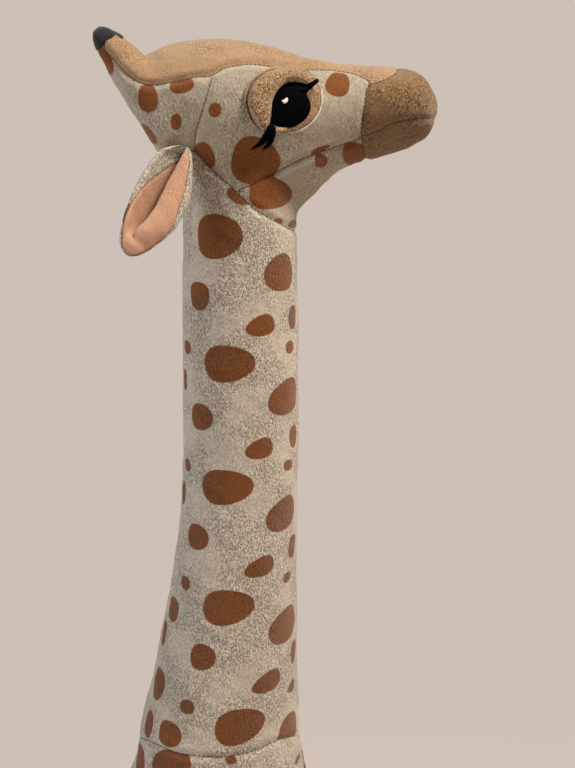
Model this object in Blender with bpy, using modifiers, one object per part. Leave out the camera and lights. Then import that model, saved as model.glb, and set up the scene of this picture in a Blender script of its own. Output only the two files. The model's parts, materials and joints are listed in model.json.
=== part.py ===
"""A tall plush giraffe that stands on four legs.

It is 1.35 m high. +X points forward to the nose and +Z up. Y=0 is its plane of symmetry, and the
floor is Z=0.
The covers are thin sewn panels over stuffing, and a steel wire frame in the legs, back and neck
keeps it up. All sizes are in metres. A table whose name ends in shares holds shares of named sizes.
"""

import math

import bmesh
import bpy
from mathutils import Matrix, Vector
from mathutils.bvhtree import BVHTree

# Cloth and clearances
PANEL = 0.0022
GAP = 0.0003
ROUND_GAP = 0.0005
CUT_OVERRUN = 0.25
SEW_WIDTH = 0.0004

# Body
BODY_LENGTH = 0.430
BODY_HEIGHT = 0.200
BODY_BREADTH = 0.186
BELLY_HEIGHT = 0.490
BODY_CENTRE_X = -0.060

# Legs: from the floor, the hoof's height, and where each foot stands
HOOF_HEIGHT = 0.070
HOOF_RADIUS = 0.038
SHANK_RADIUS = 0.034
LEG_TOP = 0.680
FRONT_FOOT_X = 0.098
REAR_FOOT_X = -0.218
FOOT_Y = 0.060
SOLE_RADIUS = 0.035
SOLE_THICKNESS = 0.003
PLATE_RADIUS = 0.024
PLATE_THICKNESS = 0.0015

# Neck: its base seam above the body's top, how far it leans, and its bends
NECK_BASE_X = 0.109
NECK_RISE = 0.090
NECK_LEAN = math.radians(5.64)
NECK_LENGTH = 0.392
NECK_RADIUS = 0.0455
TURN_ALONG = 0.225
LEAN_PIVOT_ALONG = 0.030
LEAN_PIVOT_BEHIND = 0.022
LEAN_CUP_RADIUS = 0.074
NOD_PIVOT_BEHIND = 0.020
NOD_CUP_RADIUS = 0.0658

# Head
HEAD_LENGTH = 0.240
HEAD_HEIGHT = 0.150
HEAD_BREADTH = 0.098
HORN_RADIUS = 0.015
HORN_LENGTH = 0.042
HORN_TIP_LENGTH = 0.016
HORN_SPREAD = 0.024
EYE_RADIUS = 0.0150
EYE_DEPTH = 0.0075
LID_LENGTH = 0.059
LID_HEIGHT = 0.048
LID_DEPTH = 0.0060
GLINT_LENGTH = 0.0050
GLINT_DEPTH = 0.0010
LASH_WIDTH = 0.0030
LASH_DEPTH = 0.0012
EAR_LENGTH = 0.091
EAR_WIDTH = 0.046
EAR_THICKNESS = 0.010
EAR_ROOT_RADIUS = 0.0035
EAR_BORDER = 0.0050
EAR_OUTWARD = math.radians(25)
EAR_BACKWARD = math.radians(34.8)

# Tail
TAIL_LENGTH = 0.135
TAIL_RADIUS = 0.008
TUFT_LENGTH = 0.075
TUFT_RADIUS = 0.014
TAIL_RAISE = math.radians(30)
TAIL_HANG = math.radians(3)
TAIL_ROOT_LENGTH = 0.030

# Wire
WIRE_RADIUS = 0.0025
WIRE_END_GAP = 0.004

# How finely forms are drawn
MERGE = 1e-6
SOFT_POINTS = 8
NECK_POINTS = 16
LIMB_POINTS = 12
SMOOTH_LEVELS = 1
CUP_SEGMENTS = 48
DISC_SEGMENTS = 20
LENS_SEGMENTS = 16
GLINT_SEGMENTS = 10
BEND_STEPS = 4
MITRE_share = 0.5

FORWARD = Vector((1, 0, 0))
SIDE = Vector((0, 1, 0))
UP = Vector((0, 0, 1))
RIGHT_AND_LEFT = (("right", -1), ("left", 1))

CLOTH_ROUGHNESS = 0.9
STEEL_ROUGHNESS = 0.4
CREAM = (0.70, 0.60, 0.47)
TAN = (0.44, 0.26, 0.13)
BROWN = (0.25, 0.12, 0.05)
PINK = (0.75, 0.40, 0.26)
BLACK = (0.01, 0.01, 0.012)
WHITE = (0.85, 0.85, 0.83)
FILL = (0.80, 0.80, 0.78)
STEEL = (0.55, 0.56, 0.58)

# Body sections under the neck: front point (x, z), back point (x, z), half breadth
BODY_SECTION_shares = (
    ((0.500, 1.240), (0.160, 1.275), 0.730),
    ((0.505, 1.000), (0.107, 1.130), 0.820),
    ((0.488, 0.640), (0.019, 1.045), 0.935),
    ((0.367, 0.210), (-0.093, 1.010), 1.000),
    ((0.151, 0.040), (-0.209, 0.980), 1.000),
    ((-0.081, 0.000), (-0.326, 0.900), 0.946),
    ((-0.274, 0.025), (-0.430, 0.725), 0.796),
    ((-0.409, 0.085), (-0.488, 0.500), 0.516),
)
BODY_END_shares = (-0.500, 0.290)
TAIL_shares = (-0.5, 0.62)
BELLY_SEAM_shares = (
    (-0.600, 0.300),
    (-0.400, 0.300),
    (0.300, 0.300),
    (0.420, 0.700),
    (0.560, 1.100),
)

# Leg sections: height, forward shift, inward shift, half length, half breadth
FRONT_LEG_shares = (
    (0.110, 0.0, 0.0, 1.00, 1.00),
    (0.350, 0.0, 0.0, 1.00, 1.00),
    (0.560, 0.0, 0.0, 1.10, 1.08),
    (0.700, -0.06, -0.06, 1.28, 1.20),
    (0.800, -0.15, -0.18, 1.42, 1.22),
    (0.890, -0.28, -0.36, 1.30, 1.02),
    (0.955, -0.38, -0.55, 0.85, 0.62),
)
REAR_LEG_shares = (
    (0.110, 0.0, 0.0, 1.00, 1.00),
    (0.350, 0.0, 0.0, 1.00, 1.00),
    (0.560, 0.06, 0.0, 1.12, 1.08),
    (0.690, 0.15, -0.08, 1.42, 1.20),
    (0.775, 0.26, -0.24, 1.62, 1.22),
    (0.840, 0.34, -0.46, 1.42, 1.02),
    (0.885, 0.38, -0.66, 0.90, 0.62),
)
LEG_END_share = 0.03
FRAME_INWARD_share = 0.4

# Neck sections: along the neck, then front, back and half breadth
NECK_SECTION_shares = (
    (-0.180, 1.02, 2.25, 1.42),
    (0.000, 1.02, 1.92, 1.36),
    (0.175, 0.99, 1.54, 1.23),
    (0.395, 0.99, 1.18, 1.10),
    (0.574, 1.00, 1.00, 1.00),
    (0.820, 1.00, 0.96, 0.98),
    (1.025, 0.96, 0.96, 0.97),
    (1.250, 0.94, 0.95, 0.94),
)

# Head sections: top point and bottom point, from the nod pivot, and half breadth
HEAD_SECTION_shares = (
    ((-0.235, 1.000), (-0.220, 0.855), 0.36),
    ((-0.152, 1.045), (-0.150, 0.600), 0.69),
    ((-0.065, 1.087), (-0.068, 0.350), 0.86),
    ((0.064, 1.100), (0.070, 0.220), 0.96),
    ((0.201, 1.053), (0.214, 0.153), 1.00),
    ((0.302, 0.987), (0.315, 0.230), 0.96),
    ((0.401, 0.933), (0.408, 0.340), 0.85),
    ((0.480, 0.907), (0.480, 0.393), 0.75),
    ((0.556, 0.880), (0.560, 0.427), 0.70),
    ((0.635, 0.847), (0.648, 0.457), 0.64),
    ((0.700, 0.800), (0.714, 0.520), 0.50),
)
HEAD_BACK_shares = (-0.262, 0.950)
HEAD_NOSE_shares = (0.760, 0.650)

# Seams of the head, from the nod pivot
CROWN_SEAM_shares = (
    (-0.400, 1.120),
    (-0.266, 1.040),
    (-0.258, 0.985),
    (-0.232, 0.947),
    (-0.199, 0.915),
    (-0.148, 0.907),
    (-0.086, 0.913),
    (-0.023, 0.921),
    (0.045, 0.940),
    (0.101, 0.950),
    (0.165, 0.954),
    (0.226, 0.940),
    (0.285, 0.917),
    (0.363, 0.900),
    (0.423, 0.890),
    (0.484, 0.867),
    (0.538, 0.813),
    (0.572, 0.807),
    (0.607, 0.817),
    (0.650, 0.860),
    (0.700, 0.960),
)
CHEEK_SEAM_START = 8
MUZZLE_SEAM_START = 16
CHEEK_SEAM_shares = (
    (0.029, 0.820),
    (0.011, 0.728),
    (-0.008, 0.637),
    (-0.028, 0.568),
    (-0.040, 0.430),
)
JAW_SEAM_shares = (
    (0.090, 0.310),
    (0.125, 0.347),
    (0.189, 0.376),
    (0.252, 0.409),
    (0.333, 0.460),
    (0.413, 0.505),
)
MUZZLE_SEAM_shares = ((0.525, 0.743), (0.515, 0.673), (0.508, 0.600), (0.504, 0.535))
MUZZLE_LOWER_shares = ((0.509, 0.467), (0.520, 0.427), (0.535, 0.300))
MOUTH_SEAM_shares = (
    (0.560, 0.562),
    (0.608, 0.584),
    (0.672, 0.599),
    (0.728, 0.600),
    (0.850, 0.600),
)

# Places on the head, from the nod pivot
HORN_BASE_shares = (-0.195, 0.975)
HORN_TIP_LEAN = math.radians(32)
EYE_shares = (0.286, 0.722)
LID_shares = (0.262, 0.755)
GLINT_shares = (0.272, 0.752)
EAR_ROOT_shares = (-0.043, 0.570)
HEAD_WIRE_shares = ((0.330, 0.560), (0.500, 0.600))
UPPER_LASH_shares = (((0.333, 0.800), (0.346, 0.808), (0.359, 0.821), (0.373, 0.836)),)
LOWER_LASH_shares = (
    ((0.237, 0.652), (0.197, 0.605), (0.180, 0.579), (0.154, 0.542)),
    ((0.239, 0.655), (0.231, 0.600), (0.215, 0.549), (0.190, 0.536)),
)
HOOF_shares = ((0.0, 0.93), (0.10, 0.985), (0.35, 1.0), (0.70, 0.985), (1.0, 0.93))
HORN_shares = ((-0.45, 1.10), (0.0, 1.0), (0.40, 0.84), (0.72, 0.66), (0.92, 0.42))
TUFT_shares = ((0.0, 0.58), (0.10, 0.80), (0.30, 1.0), (0.55, 0.96), (0.78, 0.70), (0.93, 0.34))
EAR_shares = (
    (0.0, 0.42, 0.70),
    (0.16, 0.62, 0.86),
    (0.40, 0.90, 1.0),
    (0.65, 1.0, 1.0),
    (0.85, 0.78, 0.86),
    (0.955, 0.42, 0.60),
)
LID_TILT = math.radians(-4)


def clear_scene():
    for obj in list(bpy.data.objects):
        bpy.data.objects.remove(obj, do_unlink=True)


def new_collection(name):
    made = bpy.data.collections.new(name)
    bpy.context.scene.collection.children.link(made)
    return made


def new_material(name, colour, roughness, metallic=0.0):
    made = bpy.data.materials.new(name)
    made.use_nodes = True
    shader = made.node_tree.nodes["Principled BSDF"]
    shader.inputs["Base Color"].default_value = (*colour, 1)
    shader.inputs["Roughness"].default_value = roughness
    shader.inputs["Metallic"].default_value = metallic
    made.diffuse_color = (*colour, 1)
    return made


def object_of(bm, name, collection, turn_out=True):
    """A mesh object made from a bmesh, its faces turned outwards unless they are already."""
    if turn_out:
        bm.normal_update()
        bmesh.ops.recalc_face_normals(bm, faces=bm.faces)
    mesh = bpy.data.meshes.new(name)
    bm.to_mesh(mesh)
    bm.free()
    made = bpy.data.objects.new(name, mesh)
    collection.objects.link(made)
    return made


def evaluated_mesh(obj):
    graph = bpy.context.evaluated_depsgraph_get()
    return bpy.data.meshes.new_from_object(obj.evaluated_get(graph))


def settle(obj):
    """Makes an object's modifiers part of its mesh, and merges points that lie on one another."""
    mesh = evaluated_mesh(obj)
    obj.modifiers.clear()
    obj.data = mesh
    bm = bmesh.new()
    bm.from_mesh(mesh)
    bmesh.ops.remove_doubles(bm, verts=bm.verts, dist=MERGE)
    bmesh.ops.dissolve_degenerate(bm, edges=bm.edges, dist=MERGE)
    bm.to_mesh(mesh)
    bm.free()
    return obj


def combine(obj, other, operation):
    """Cuts or joins obj with other, which stays as a hidden cutter."""
    step = obj.modifiers.new(operation, "BOOLEAN")
    step.object = other
    step.operation = operation
    step.solver = "EXACT"
    return settle(obj)


def cut(obj, *shapes):
    for shape in shapes:
        combine(obj, shape, "DIFFERENCE")
    return obj


def keep(obj, *regions):
    for region in regions:
        combine(obj, region, "INTERSECT")
    return obj


def copy_of(obj, name, collection):
    made = bpy.data.objects.new(name, obj.data.copy())
    made.matrix_world = obj.matrix_world.copy()
    collection.objects.link(made)
    return made


def loft(name, rings, ends, collection, points=SOFT_POINTS):
    """A closed form through rings of (centre, half axis, other half axis), with a pole or a flat end.

    One of SOFT_POINTS is a coarse cage, which is subdivided, and swollen first by what that takes off.
    Its faces are split alike in each copy, so a form drawn in by a gap lies inside the first all over.
    """
    smooth = points == SOFT_POINTS
    swell = 3 / (2 + math.cos(math.tau / points)) if smooth else 1
    bm = bmesh.new()
    loops = []
    for centre, one, other in rings:
        loop = []
        for index in range(points):
            turn = math.tau * index / points
            offset = one * math.cos(turn) + other * math.sin(turn)
            loop.append(bm.verts.new(centre + swell * offset))
        loops.append(loop)
    for low, high in zip(loops, loops[1:]):
        for index in range(points):
            after = (index + 1) % points
            bm.faces.new((low[index], low[after], high[after], high[index]))
    for loop, end in zip((loops[0], loops[-1]), ends):
        if end is None:
            bm.faces.new(loop)
            continue
        pole = bm.verts.new(end)
        for index in range(points):
            bm.faces.new((loop[index], loop[(index + 1) % points], pole))
    made = object_of(bm, name, collection)
    if smooth:
        subdivide = made.modifiers.new("Smooth", "SUBSURF")
        subdivide.levels = SMOOTH_LEVELS
        subdivide.render_levels = SMOOTH_LEVELS
        settle(made)
    split = bmesh.new()
    split.from_mesh(made.data)
    bmesh.ops.triangulate(split, faces=split.faces, quad_method="FIXED")
    split.to_mesh(made.data)
    split.free()
    return made


def sagittal_ring(front, back, half_breadth, inset):
    """An ellipse square to the plane of symmetry, drawn in all round by inset."""
    middle = (front + back) / 2
    half = (front - back) / 2
    return middle, half.normalized() * (half.length - inset), SIDE * (half_breadth - inset)


def prism(name, outline, low_y=-CUT_OVERRUN, high_y=CUT_OVERRUN):
    """A cutting shape: an outline in the plane of symmetry, carried across from low_y to high_y."""
    bm = bmesh.new()
    face = bm.faces.new([bm.verts.new((point.x, low_y, point.z)) for point in outline])
    swept = bmesh.ops.extrude_face_region(bm, geom=[face])
    moved = [item for item in swept["geom"] if isinstance(item, bmesh.types.BMVert)]
    bmesh.ops.translate(bm, verts=moved, vec=(0, high_y - low_y, 0))
    return object_of(bm, name, cutters)


def drawn_in(outline, amount):
    """The outline with each of its edges moved inwards by amount."""
    area = sum(a.x * b.z - b.x * a.z for a, b in zip(outline, outline[1:] + outline[:1]))
    turn = 1 if area > 0 else -1
    found = []
    befores = outline[-1:] + outline[:-1]
    afters = outline[1:] + outline[:1]
    for before, here, after in zip(befores, outline, afters):
        first = (here - before).normalized()
        second = (after - here).normalized()
        inward = [Vector((-way.z, 0, way.x)) * turn for way in (first, second)]
        middle = (inward[0] + inward[1]).normalized()
        found.append(here + middle * amount / max(middle.dot(inward[0]), MITRE_share))
    return found


def cylinder_across(name, centre, radius):
    """A cylinder across the whole object, for a joint that turns about Y."""
    bm = bmesh.new()
    bmesh.ops.create_cone(
        bm,
        cap_ends=True,
        segments=CUP_SEGMENTS,
        radius1=radius,
        radius2=radius,
        depth=CUT_OVERRUN * 2,
    )
    bm.transform(Matrix.Translation(centre) @ Matrix.Rotation(math.pi / 2, 4, "X"))
    return object_of(bm, name, cutters)


def block(name, centre, along, forward, length, width=CUT_OVERRUN):
    """A cutting box that reaches length along one way from centre, and width to each side."""
    bm = bmesh.new()
    bmesh.ops.create_cube(bm, size=1)
    frame = Matrix((forward, along.cross(forward), along)).transposed().to_4x4()
    middle = Matrix.Translation(centre + along * length / 2)
    bm.transform(middle @ frame @ Matrix.Diagonal((2 * width, 2 * width, length, 1)))
    return object_of(bm, name, cutters)


def rod(name, points, radius, collection):
    """A round wire along points, as a mesh with closed ends."""
    curve = bpy.data.curves.new(name, "CURVE")
    curve.dimensions = "3D"
    curve.bevel_depth = radius
    curve.bevel_resolution = 1
    curve.use_fill_caps = True
    line = curve.splines.new("POLY")
    line.points.add(len(points) - 1)
    for item, point in zip(line.points, points):
        item.co = (*point, 1)
    drawn = bpy.data.objects.new(name + "_line", curve)
    collection.objects.link(drawn)
    bpy.context.view_layer.update()
    bm = bmesh.new()
    bm.from_mesh(evaluated_mesh(drawn))
    bmesh.ops.remove_doubles(bm, verts=bm.verts, dist=MERGE)
    bpy.data.objects.remove(drawn)
    return object_of(bm, name, collection)


def rounded(points, radius):
    """The points with each inner corner made an arc."""
    found = [points[0]]
    for before, here, after in zip(points, points[1:], points[2:]):
        reach = min(radius, (before - here).length / 2, (after - here).length / 2)
        start = here + (before - here).normalized() * reach
        end = here + (after - here).normalized() * reach
        for index in range(BEND_STEPS + 1):
            share = index / BEND_STEPS
            found.append(start.lerp(here, share).lerp(here.lerp(end, share), share))
    return found + [points[-1]]


def lengthened(points, amount):
    """The points with the first and last moved outwards along their runs."""
    first = points[0] + (points[0] - points[1]).normalized() * amount
    last = points[-1] + (points[-1] - points[-2]).normalized() * amount
    return [first] + points[1:-1] + [last]


def disc(name, centre, radius, thickness, collection):
    bm = bmesh.new()
    bmesh.ops.create_cone(
        bm,
        cap_ends=True,
        segments=DISC_SEGMENTS,
        radius1=radius,
        radius2=radius,
        depth=thickness,
    )
    bm.transform(Matrix.Translation(centre + UP * thickness / 2))
    return object_of(bm, name, collection)


def lens(name, centre, normal, halves, collection, tilt=0.0, segments=LENS_SEGMENTS):
    """A flattened ball on a surface: half its length, height and depth, its length tilted up."""
    along = (FORWARD - normal * FORWARD.dot(normal)).normalized()
    along = Matrix.Rotation(tilt, 3, normal) @ along
    across = normal.cross(along)
    bm = bmesh.new()
    bmesh.ops.create_uvsphere(bm, u_segments=segments, v_segments=segments // 2, radius=1)
    frame = Matrix((along, across, normal)).transposed().to_4x4()
    bm.transform(Matrix.Translation(centre) @ frame @ Matrix.Diagonal((*halves, 1)))
    return object_of(bm, name, collection)


def surface_of(obj):
    return BVHTree.FromObject(obj, bpy.context.evaluated_depsgraph_get())


def seat(surface, point):
    """Where a line from the right side first meets the surface, and the surface's normal there."""
    place, normal, _, _ = surface.ray_cast(Vector((point.x, -CUT_OVERRUN, point.z)), SIDE)
    return place, normal


neck_base_height = BELLY_HEIGHT + BODY_HEIGHT + NECK_RISE
NECK_UP = Vector((math.sin(NECK_LEAN), 0, math.cos(NECK_LEAN)))
NECK_FORWARD = Vector((math.cos(NECK_LEAN), 0, -math.sin(NECK_LEAN)))
NECK_BASE = Vector((NECK_BASE_X, 0, neck_base_height))
LEAN_PIVOT = NECK_BASE + NECK_UP * LEAN_PIVOT_ALONG - NECK_FORWARD * LEAN_PIVOT_BEHIND
TURN_PIVOT = NECK_BASE + NECK_UP * TURN_ALONG
NOD_PIVOT = NECK_BASE + NECK_UP * NECK_LENGTH - NECK_FORWARD * NOD_PIVOT_BEHIND


def on_neck(along, forward):
    return NECK_BASE + NECK_UP * along + NECK_FORWARD * forward


def on_head(share):
    return NOD_PIVOT + FORWARD * share[0] * HEAD_LENGTH + UP * share[1] * HEAD_HEIGHT


def on_body(share):
    ahead = BODY_CENTRE_X + share[0] * BODY_LENGTH
    return Vector((ahead, 0, BELLY_HEIGHT + share[1] * BODY_HEIGHT))


def neck_ring(section, inset):
    along, front, back, breadth = section
    front_point = on_neck(along * NECK_LENGTH, front * NECK_RADIUS)
    back_point = on_neck(along * NECK_LENGTH, -back * NECK_RADIUS)
    return sagittal_ring(front_point, back_point, breadth * NECK_RADIUS, inset)


def neck_form(name, inset, collection):
    rings = [neck_ring(section, inset) for section in NECK_SECTION_shares]
    return loft(name, rings, (None, None), collection, NECK_POINTS)


def body_form(name, inset, collection):
    """The body from inside the neck's base down and back to the rump."""
    rings = [neck_ring(NECK_SECTION_shares[2], inset), neck_ring(NECK_SECTION_shares[1], inset)]
    for front, back, breadth in BODY_SECTION_shares:
        half_breadth = breadth * BODY_BREADTH / 2
        rings.append(sagittal_ring(on_body(front), on_body(back), half_breadth, inset))
    end = on_body(BODY_END_shares) + FORWARD * inset
    return loft(name, rings, (None, end), collection)


def head_form(name, inset, collection):
    rings = []
    for top, bottom, breadth in HEAD_SECTION_shares:
        half_breadth = breadth * HEAD_BREADTH / 2
        rings.append(sagittal_ring(on_head(top), on_head(bottom), half_breadth, inset))
    middle = rings[len(rings) // 2][0]
    ends = []
    for share in (HEAD_BACK_shares, HEAD_NOSE_shares):
        end = on_head(share)
        ends.append(end + (middle - end).normalized() * inset)
    return loft(name, rings, ends, collection)


def leg_ring(section, foot_x, inset):
    height, forward, inward, length, breadth = section
    y = -FOOT_Y - inward * SHANK_RADIUS
    centre = Vector((foot_x + forward * SHANK_RADIUS, y, height * LEG_TOP))
    one = FORWARD * (length * SHANK_RADIUS - inset)
    return centre, one, SIDE * (breadth * SHANK_RADIUS - inset)


def leg_form(name, foot_x, table, inset, collection):
    """A right leg, from inside its hoof to inside the body."""
    rings = [leg_ring(section, foot_x, inset) for section in table]
    top = rings[-1][0] + UP * (LEG_TOP * LEG_END_share - inset)
    foot = Vector((foot_x, -FOOT_Y, SOLE_THICKNESS - inset))
    ankle = (foot, rings[0][1], rings[0][2])
    return loft(name, [ankle] + rings, (None, top), collection, LIMB_POINTS)


def hoof_form(name, foot_x, inset, bottom, collection):
    """A right hoof, slightly swollen between its sole and its top."""
    rings = []
    for height, radius in HOOF_shares:
        centre = Vector((foot_x, -FOOT_Y, bottom + (HOOF_HEIGHT - bottom) * height))
        reach = HOOF_RADIUS * radius - inset
        rings.append((centre, FORWARD * reach, SIDE * reach))
    return loft(name, rings, (None, None), collection, LIMB_POINTS)


clear_scene()
parts = new_collection("plush_giraffe")
cutters = new_collection("cutters")

cream = new_material("cream_plush", CREAM, CLOTH_ROUGHNESS)
tan = new_material("tan_plush", TAN, CLOTH_ROUGHNESS)
brown = new_material("brown_plush", BROWN, CLOTH_ROUGHNESS)
pink = new_material("pink_plush", PINK, CLOTH_ROUGHNESS)
black = new_material("black_felt", BLACK, CLOTH_ROUGHNESS)
white = new_material("white_thread", WHITE, CLOTH_ROUGHNESS)
fill = new_material("stuffing", FILL, CLOTH_ROUGHNESS)
steel = new_material("steel_wire", STEEL, STEEL_ROUGHNESS, 1.0)

# Shared cutting shapes: the cups that the neck turns in, and the plane it turns on
lean_ball = cylinder_across("lean_ball", LEAN_PIVOT, LEAN_CUP_RADIUS)
lean_cup = cylinder_across("lean_cup", LEAN_PIVOT, LEAN_CUP_RADIUS + ROUND_GAP)
nod_ball = cylinder_across("nod_ball", NOD_PIVOT, NOD_CUP_RADIUS)
nod_cup = cylinder_across("nod_cup", NOD_PIVOT, NOD_CUP_RADIUS + ROUND_GAP)
below_lean = block("below_lean", LEAN_PIVOT, -UP, FORWARD, CUT_OVERRUN)
cut(below_lean, lean_ball)
above_nod = block("above_nod", NOD_PIVOT, UP, FORWARD, CUT_OVERRUN)
cut(above_nod, nod_ball)
turn_low = TURN_PIVOT - NECK_UP * GAP / 2
turn_high = TURN_PIVOT + NECK_UP * GAP / 2
above_turn = block("above_turn", turn_low, NECK_UP, NECK_FORWARD, NECK_LENGTH)
below_turn = block("below_turn", turn_high, -NECK_UP, NECK_FORWARD, NECK_LENGTH)

# Wire routes
cross_height = BELLY_HEIGHT + BODY_HEIGHT / 2
spine_height = cross_height + 2 * WIRE_RADIUS + GAP


def leg_route(foot_x, top_x):
    """Up one leg, across the body and down the other leg, from foot plate to foot plate."""
    base = SOLE_THICKNESS + 2 * GAP + PLATE_THICKNESS
    bend = BELLY_HEIGHT - BODY_HEIGHT / 4
    inner = FOOT_Y - SHANK_RADIUS * FRAME_INWARD_share
    corners = [
        Vector((foot_x, -FOOT_Y, base)),
        Vector((foot_x, -FOOT_Y, bend)),
        Vector((top_x, -inner, cross_height)),
        Vector((top_x, inner, cross_height)),
        Vector((foot_x, FOOT_Y, bend)),
        Vector((foot_x, FOOT_Y, base)),
    ]
    return rounded(corners, SHANK_RADIUS)


front_top_x = FRONT_FOOT_X - SHANK_RADIUS / 2
rear_top_x = REAR_FOOT_X + SHANK_RADIUS / 2
front_route = leg_route(FRONT_FOOT_X, front_top_x)
rear_route = leg_route(REAR_FOOT_X, rear_top_x)
spine_top = LEAN_PIVOT - UP * (LEAN_CUP_RADIUS + WIRE_END_GAP)
spine_route = rounded(
    [
        Vector((rear_top_x - SHANK_RADIUS, 0, spine_height)),
        Vector((front_top_x + SHANK_RADIUS / 2, 0, spine_height)),
        spine_top,
    ],
    SHANK_RADIUS,
)
lower_neck_route = [
    LEAN_PIVOT - UP * (LEAN_CUP_RADIUS - WIRE_END_GAP),
    on_neck(LEAN_PIVOT_ALONG + NECK_RADIUS, -NECK_RADIUS / 4),
    TURN_PIVOT - NECK_UP * WIRE_END_GAP / 2,
]
into_head = (UP + FORWARD).normalized()
upper_neck_route = [
    TURN_PIVOT + NECK_UP * WIRE_END_GAP / 2,
    on_neck(NECK_LENGTH - NECK_RADIUS / 2, 0),
    NOD_PIVOT + into_head * (NOD_CUP_RADIUS - WIRE_END_GAP),
]
head_route = [NOD_PIVOT + into_head * (NOD_CUP_RADIUS + WIRE_END_GAP)]
head_route += [on_head(share) for share in HEAD_WIRE_shares]

routes = {
    "front_leg_frame": front_route,
    "rear_leg_frame": rear_route,
    "spine_wire": spine_route,
    "lower_neck_wire": lower_neck_route,
    "upper_neck_wire": upper_neck_route,
    "head_wire": head_route,
}
wires = {name: rod(name, route, WIRE_RADIUS, parts) for name, route in routes.items()}
bores = {
    name: rod(name + "_bore", lengthened(route, 2 * WIRE_END_GAP), WIRE_RADIUS + GAP, cutters)
    for name, route in routes.items()
}
for foot_x, frame in ((FRONT_FOOT_X, "front_leg_frame"), (REAR_FOOT_X, "rear_leg_frame")):
    for side in (-1, 1):
        place = Vector((foot_x, side * FOOT_Y, SOLE_THICKNESS + GAP))
        plate = disc("plate", place, PLATE_RADIUS, PLATE_THICKNESS + 2 * GAP, cutters)
        combine(wires[frame], plate, "UNION")
        bpy.data.objects.remove(plate)

# Body
body_outside = body_form("body_outside", -GAP, cutters)
body_outer = body_form("body_outer", 0, cutters)
body_inside = body_form("body_inside", PANEL, cutters)
body_stuffing = cut(
    body_form("body_stuffing", PANEL + GAP, parts),
    lean_cup,
    bores["front_leg_frame"],
    bores["rear_leg_frame"],
    bores["spine_wire"],
)
body_shell = cut(copy_of(body_outer, "body_shell", cutters), body_inside, lean_cup)
cut(body_shell, bores["front_leg_frame"], bores["rear_leg_frame"])


def half_space(name, side):
    """The room on one side of the plane of symmetry, half a seam away from it."""
    ahead = FORWARD * BODY_LENGTH
    over = UP * neck_base_height * 2
    edges = sorted((side * SEW_WIDTH / 2, side * CUT_OVERRUN))
    return prism(name, [-ahead, ahead, ahead + over, over - ahead], *edges)


halves = {side: half_space("half_" + word, side) for word, side in RIGHT_AND_LEFT}

# The belly panel runs between the legs from chest to tail, and the side panels meet along the back
belly_seam = [on_body(share) for share in BELLY_SEAM_shares]
under = UP * -BELLY_HEIGHT
above = UP * neck_base_height
belly_outline = belly_seam + [belly_seam[-1] + under, belly_seam[0] + under]
flank_outline = belly_seam + [belly_seam[-1] + above, belly_seam[0] + above]
belly_room = prism("belly_room", drawn_in(belly_outline, SEW_WIDTH / 2))
flank_room = prism("flank_room", drawn_in(flank_outline, SEW_WIDTH / 2))
belly_panel = keep(copy_of(body_shell, "belly_panel", parts), belly_room)
body_panels = []
for word, side in RIGHT_AND_LEFT:
    panel = copy_of(body_shell, "body_panel_" + word, parts)
    body_panels.append(keep(panel, flank_room, halves[side]))

# Legs
leg_pieces = {}
for place, foot_x, table, frame in (
    ("front", FRONT_FOOT_X, FRONT_LEG_shares, "front_leg_frame"),
    ("rear", REAR_FOOT_X, REAR_LEG_shares, "rear_leg_frame"),
):
    foot = Vector((foot_x, -FOOT_Y, 0))
    hoof_top = foot + UP * (HOOF_HEIGHT - GAP)
    plate_top = foot + UP * (SOLE_THICKNESS + 3 * GAP + PLATE_THICKNESS)
    floor_room = block("hoof_room_" + place, foot + UP * HOOF_HEIGHT, -UP, FORWARD, BELLY_HEIGHT)
    plate_room = block("plate_room_" + place, plate_top, -UP, FORWARD, HOOF_HEIGHT)
    cover = cut(
        leg_form(place + "_leg_cover_right", foot_x, table, 0, parts),
        leg_form(place + "_leg_inside", foot_x, table, PANEL, cutters),
        body_outside,
        floor_room,
    )
    stuffing = cut(
        leg_form(place + "_leg_stuffing_right", foot_x, table, PANEL + GAP, parts),
        body_outside,
        plate_room,
        bores[frame],
    )
    hoof_bottom = SOLE_THICKNESS + GAP
    hoof = cut(
        hoof_form(place + "_hoof_right", foot_x, 0, hoof_bottom, parts),
        leg_form(place + "_hoof_inside", foot_x, table, PANEL, cutters),
        block("hoof_top_" + place, hoof_top, UP, FORWARD, HOOF_HEIGHT),
    )
    sole = disc(place + "_sole_right", foot, SOLE_RADIUS, SOLE_THICKNESS, parts)
    leg_pieces[place] = (cover, stuffing, hoof, sole)

# Neck
neck_outer = neck_form("neck_outer", 0, cutters)
neck_inside = neck_form("neck_inside", PANEL, cutters)
neck_core = neck_form("neck_core", PANEL + GAP, cutters)
lower_neck_cover = copy_of(neck_outer, "lower_neck_cover", parts)
upper_neck_cover = copy_of(neck_outer, "upper_neck_cover", parts)
lower_neck_stuffing = copy_of(neck_core, "lower_neck_stuffing", parts)
upper_neck_stuffing = copy_of(neck_core, "upper_neck_stuffing", parts)
cut(lower_neck_cover, neck_inside, below_lean, above_turn)
cut(upper_neck_cover, neck_inside, above_nod, below_turn)
cut(lower_neck_stuffing, below_lean, above_turn, bores["lower_neck_wire"])
cut(upper_neck_stuffing, above_nod, below_turn, bores["upper_neck_wire"])

# Head
head_outside = head_form("head_outside", -GAP, cutters)
head_outer = head_form("head_outer", 0, cutters)
head_inside = head_form("head_inside", PANEL, cutters)
head_stuffing = cut(head_form("head_stuffing", PANEL + GAP, parts), nod_cup, bores["head_wire"])
head_shell = cut(copy_of(head_outer, "head_shell", cutters), head_inside, nod_cup)

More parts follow.
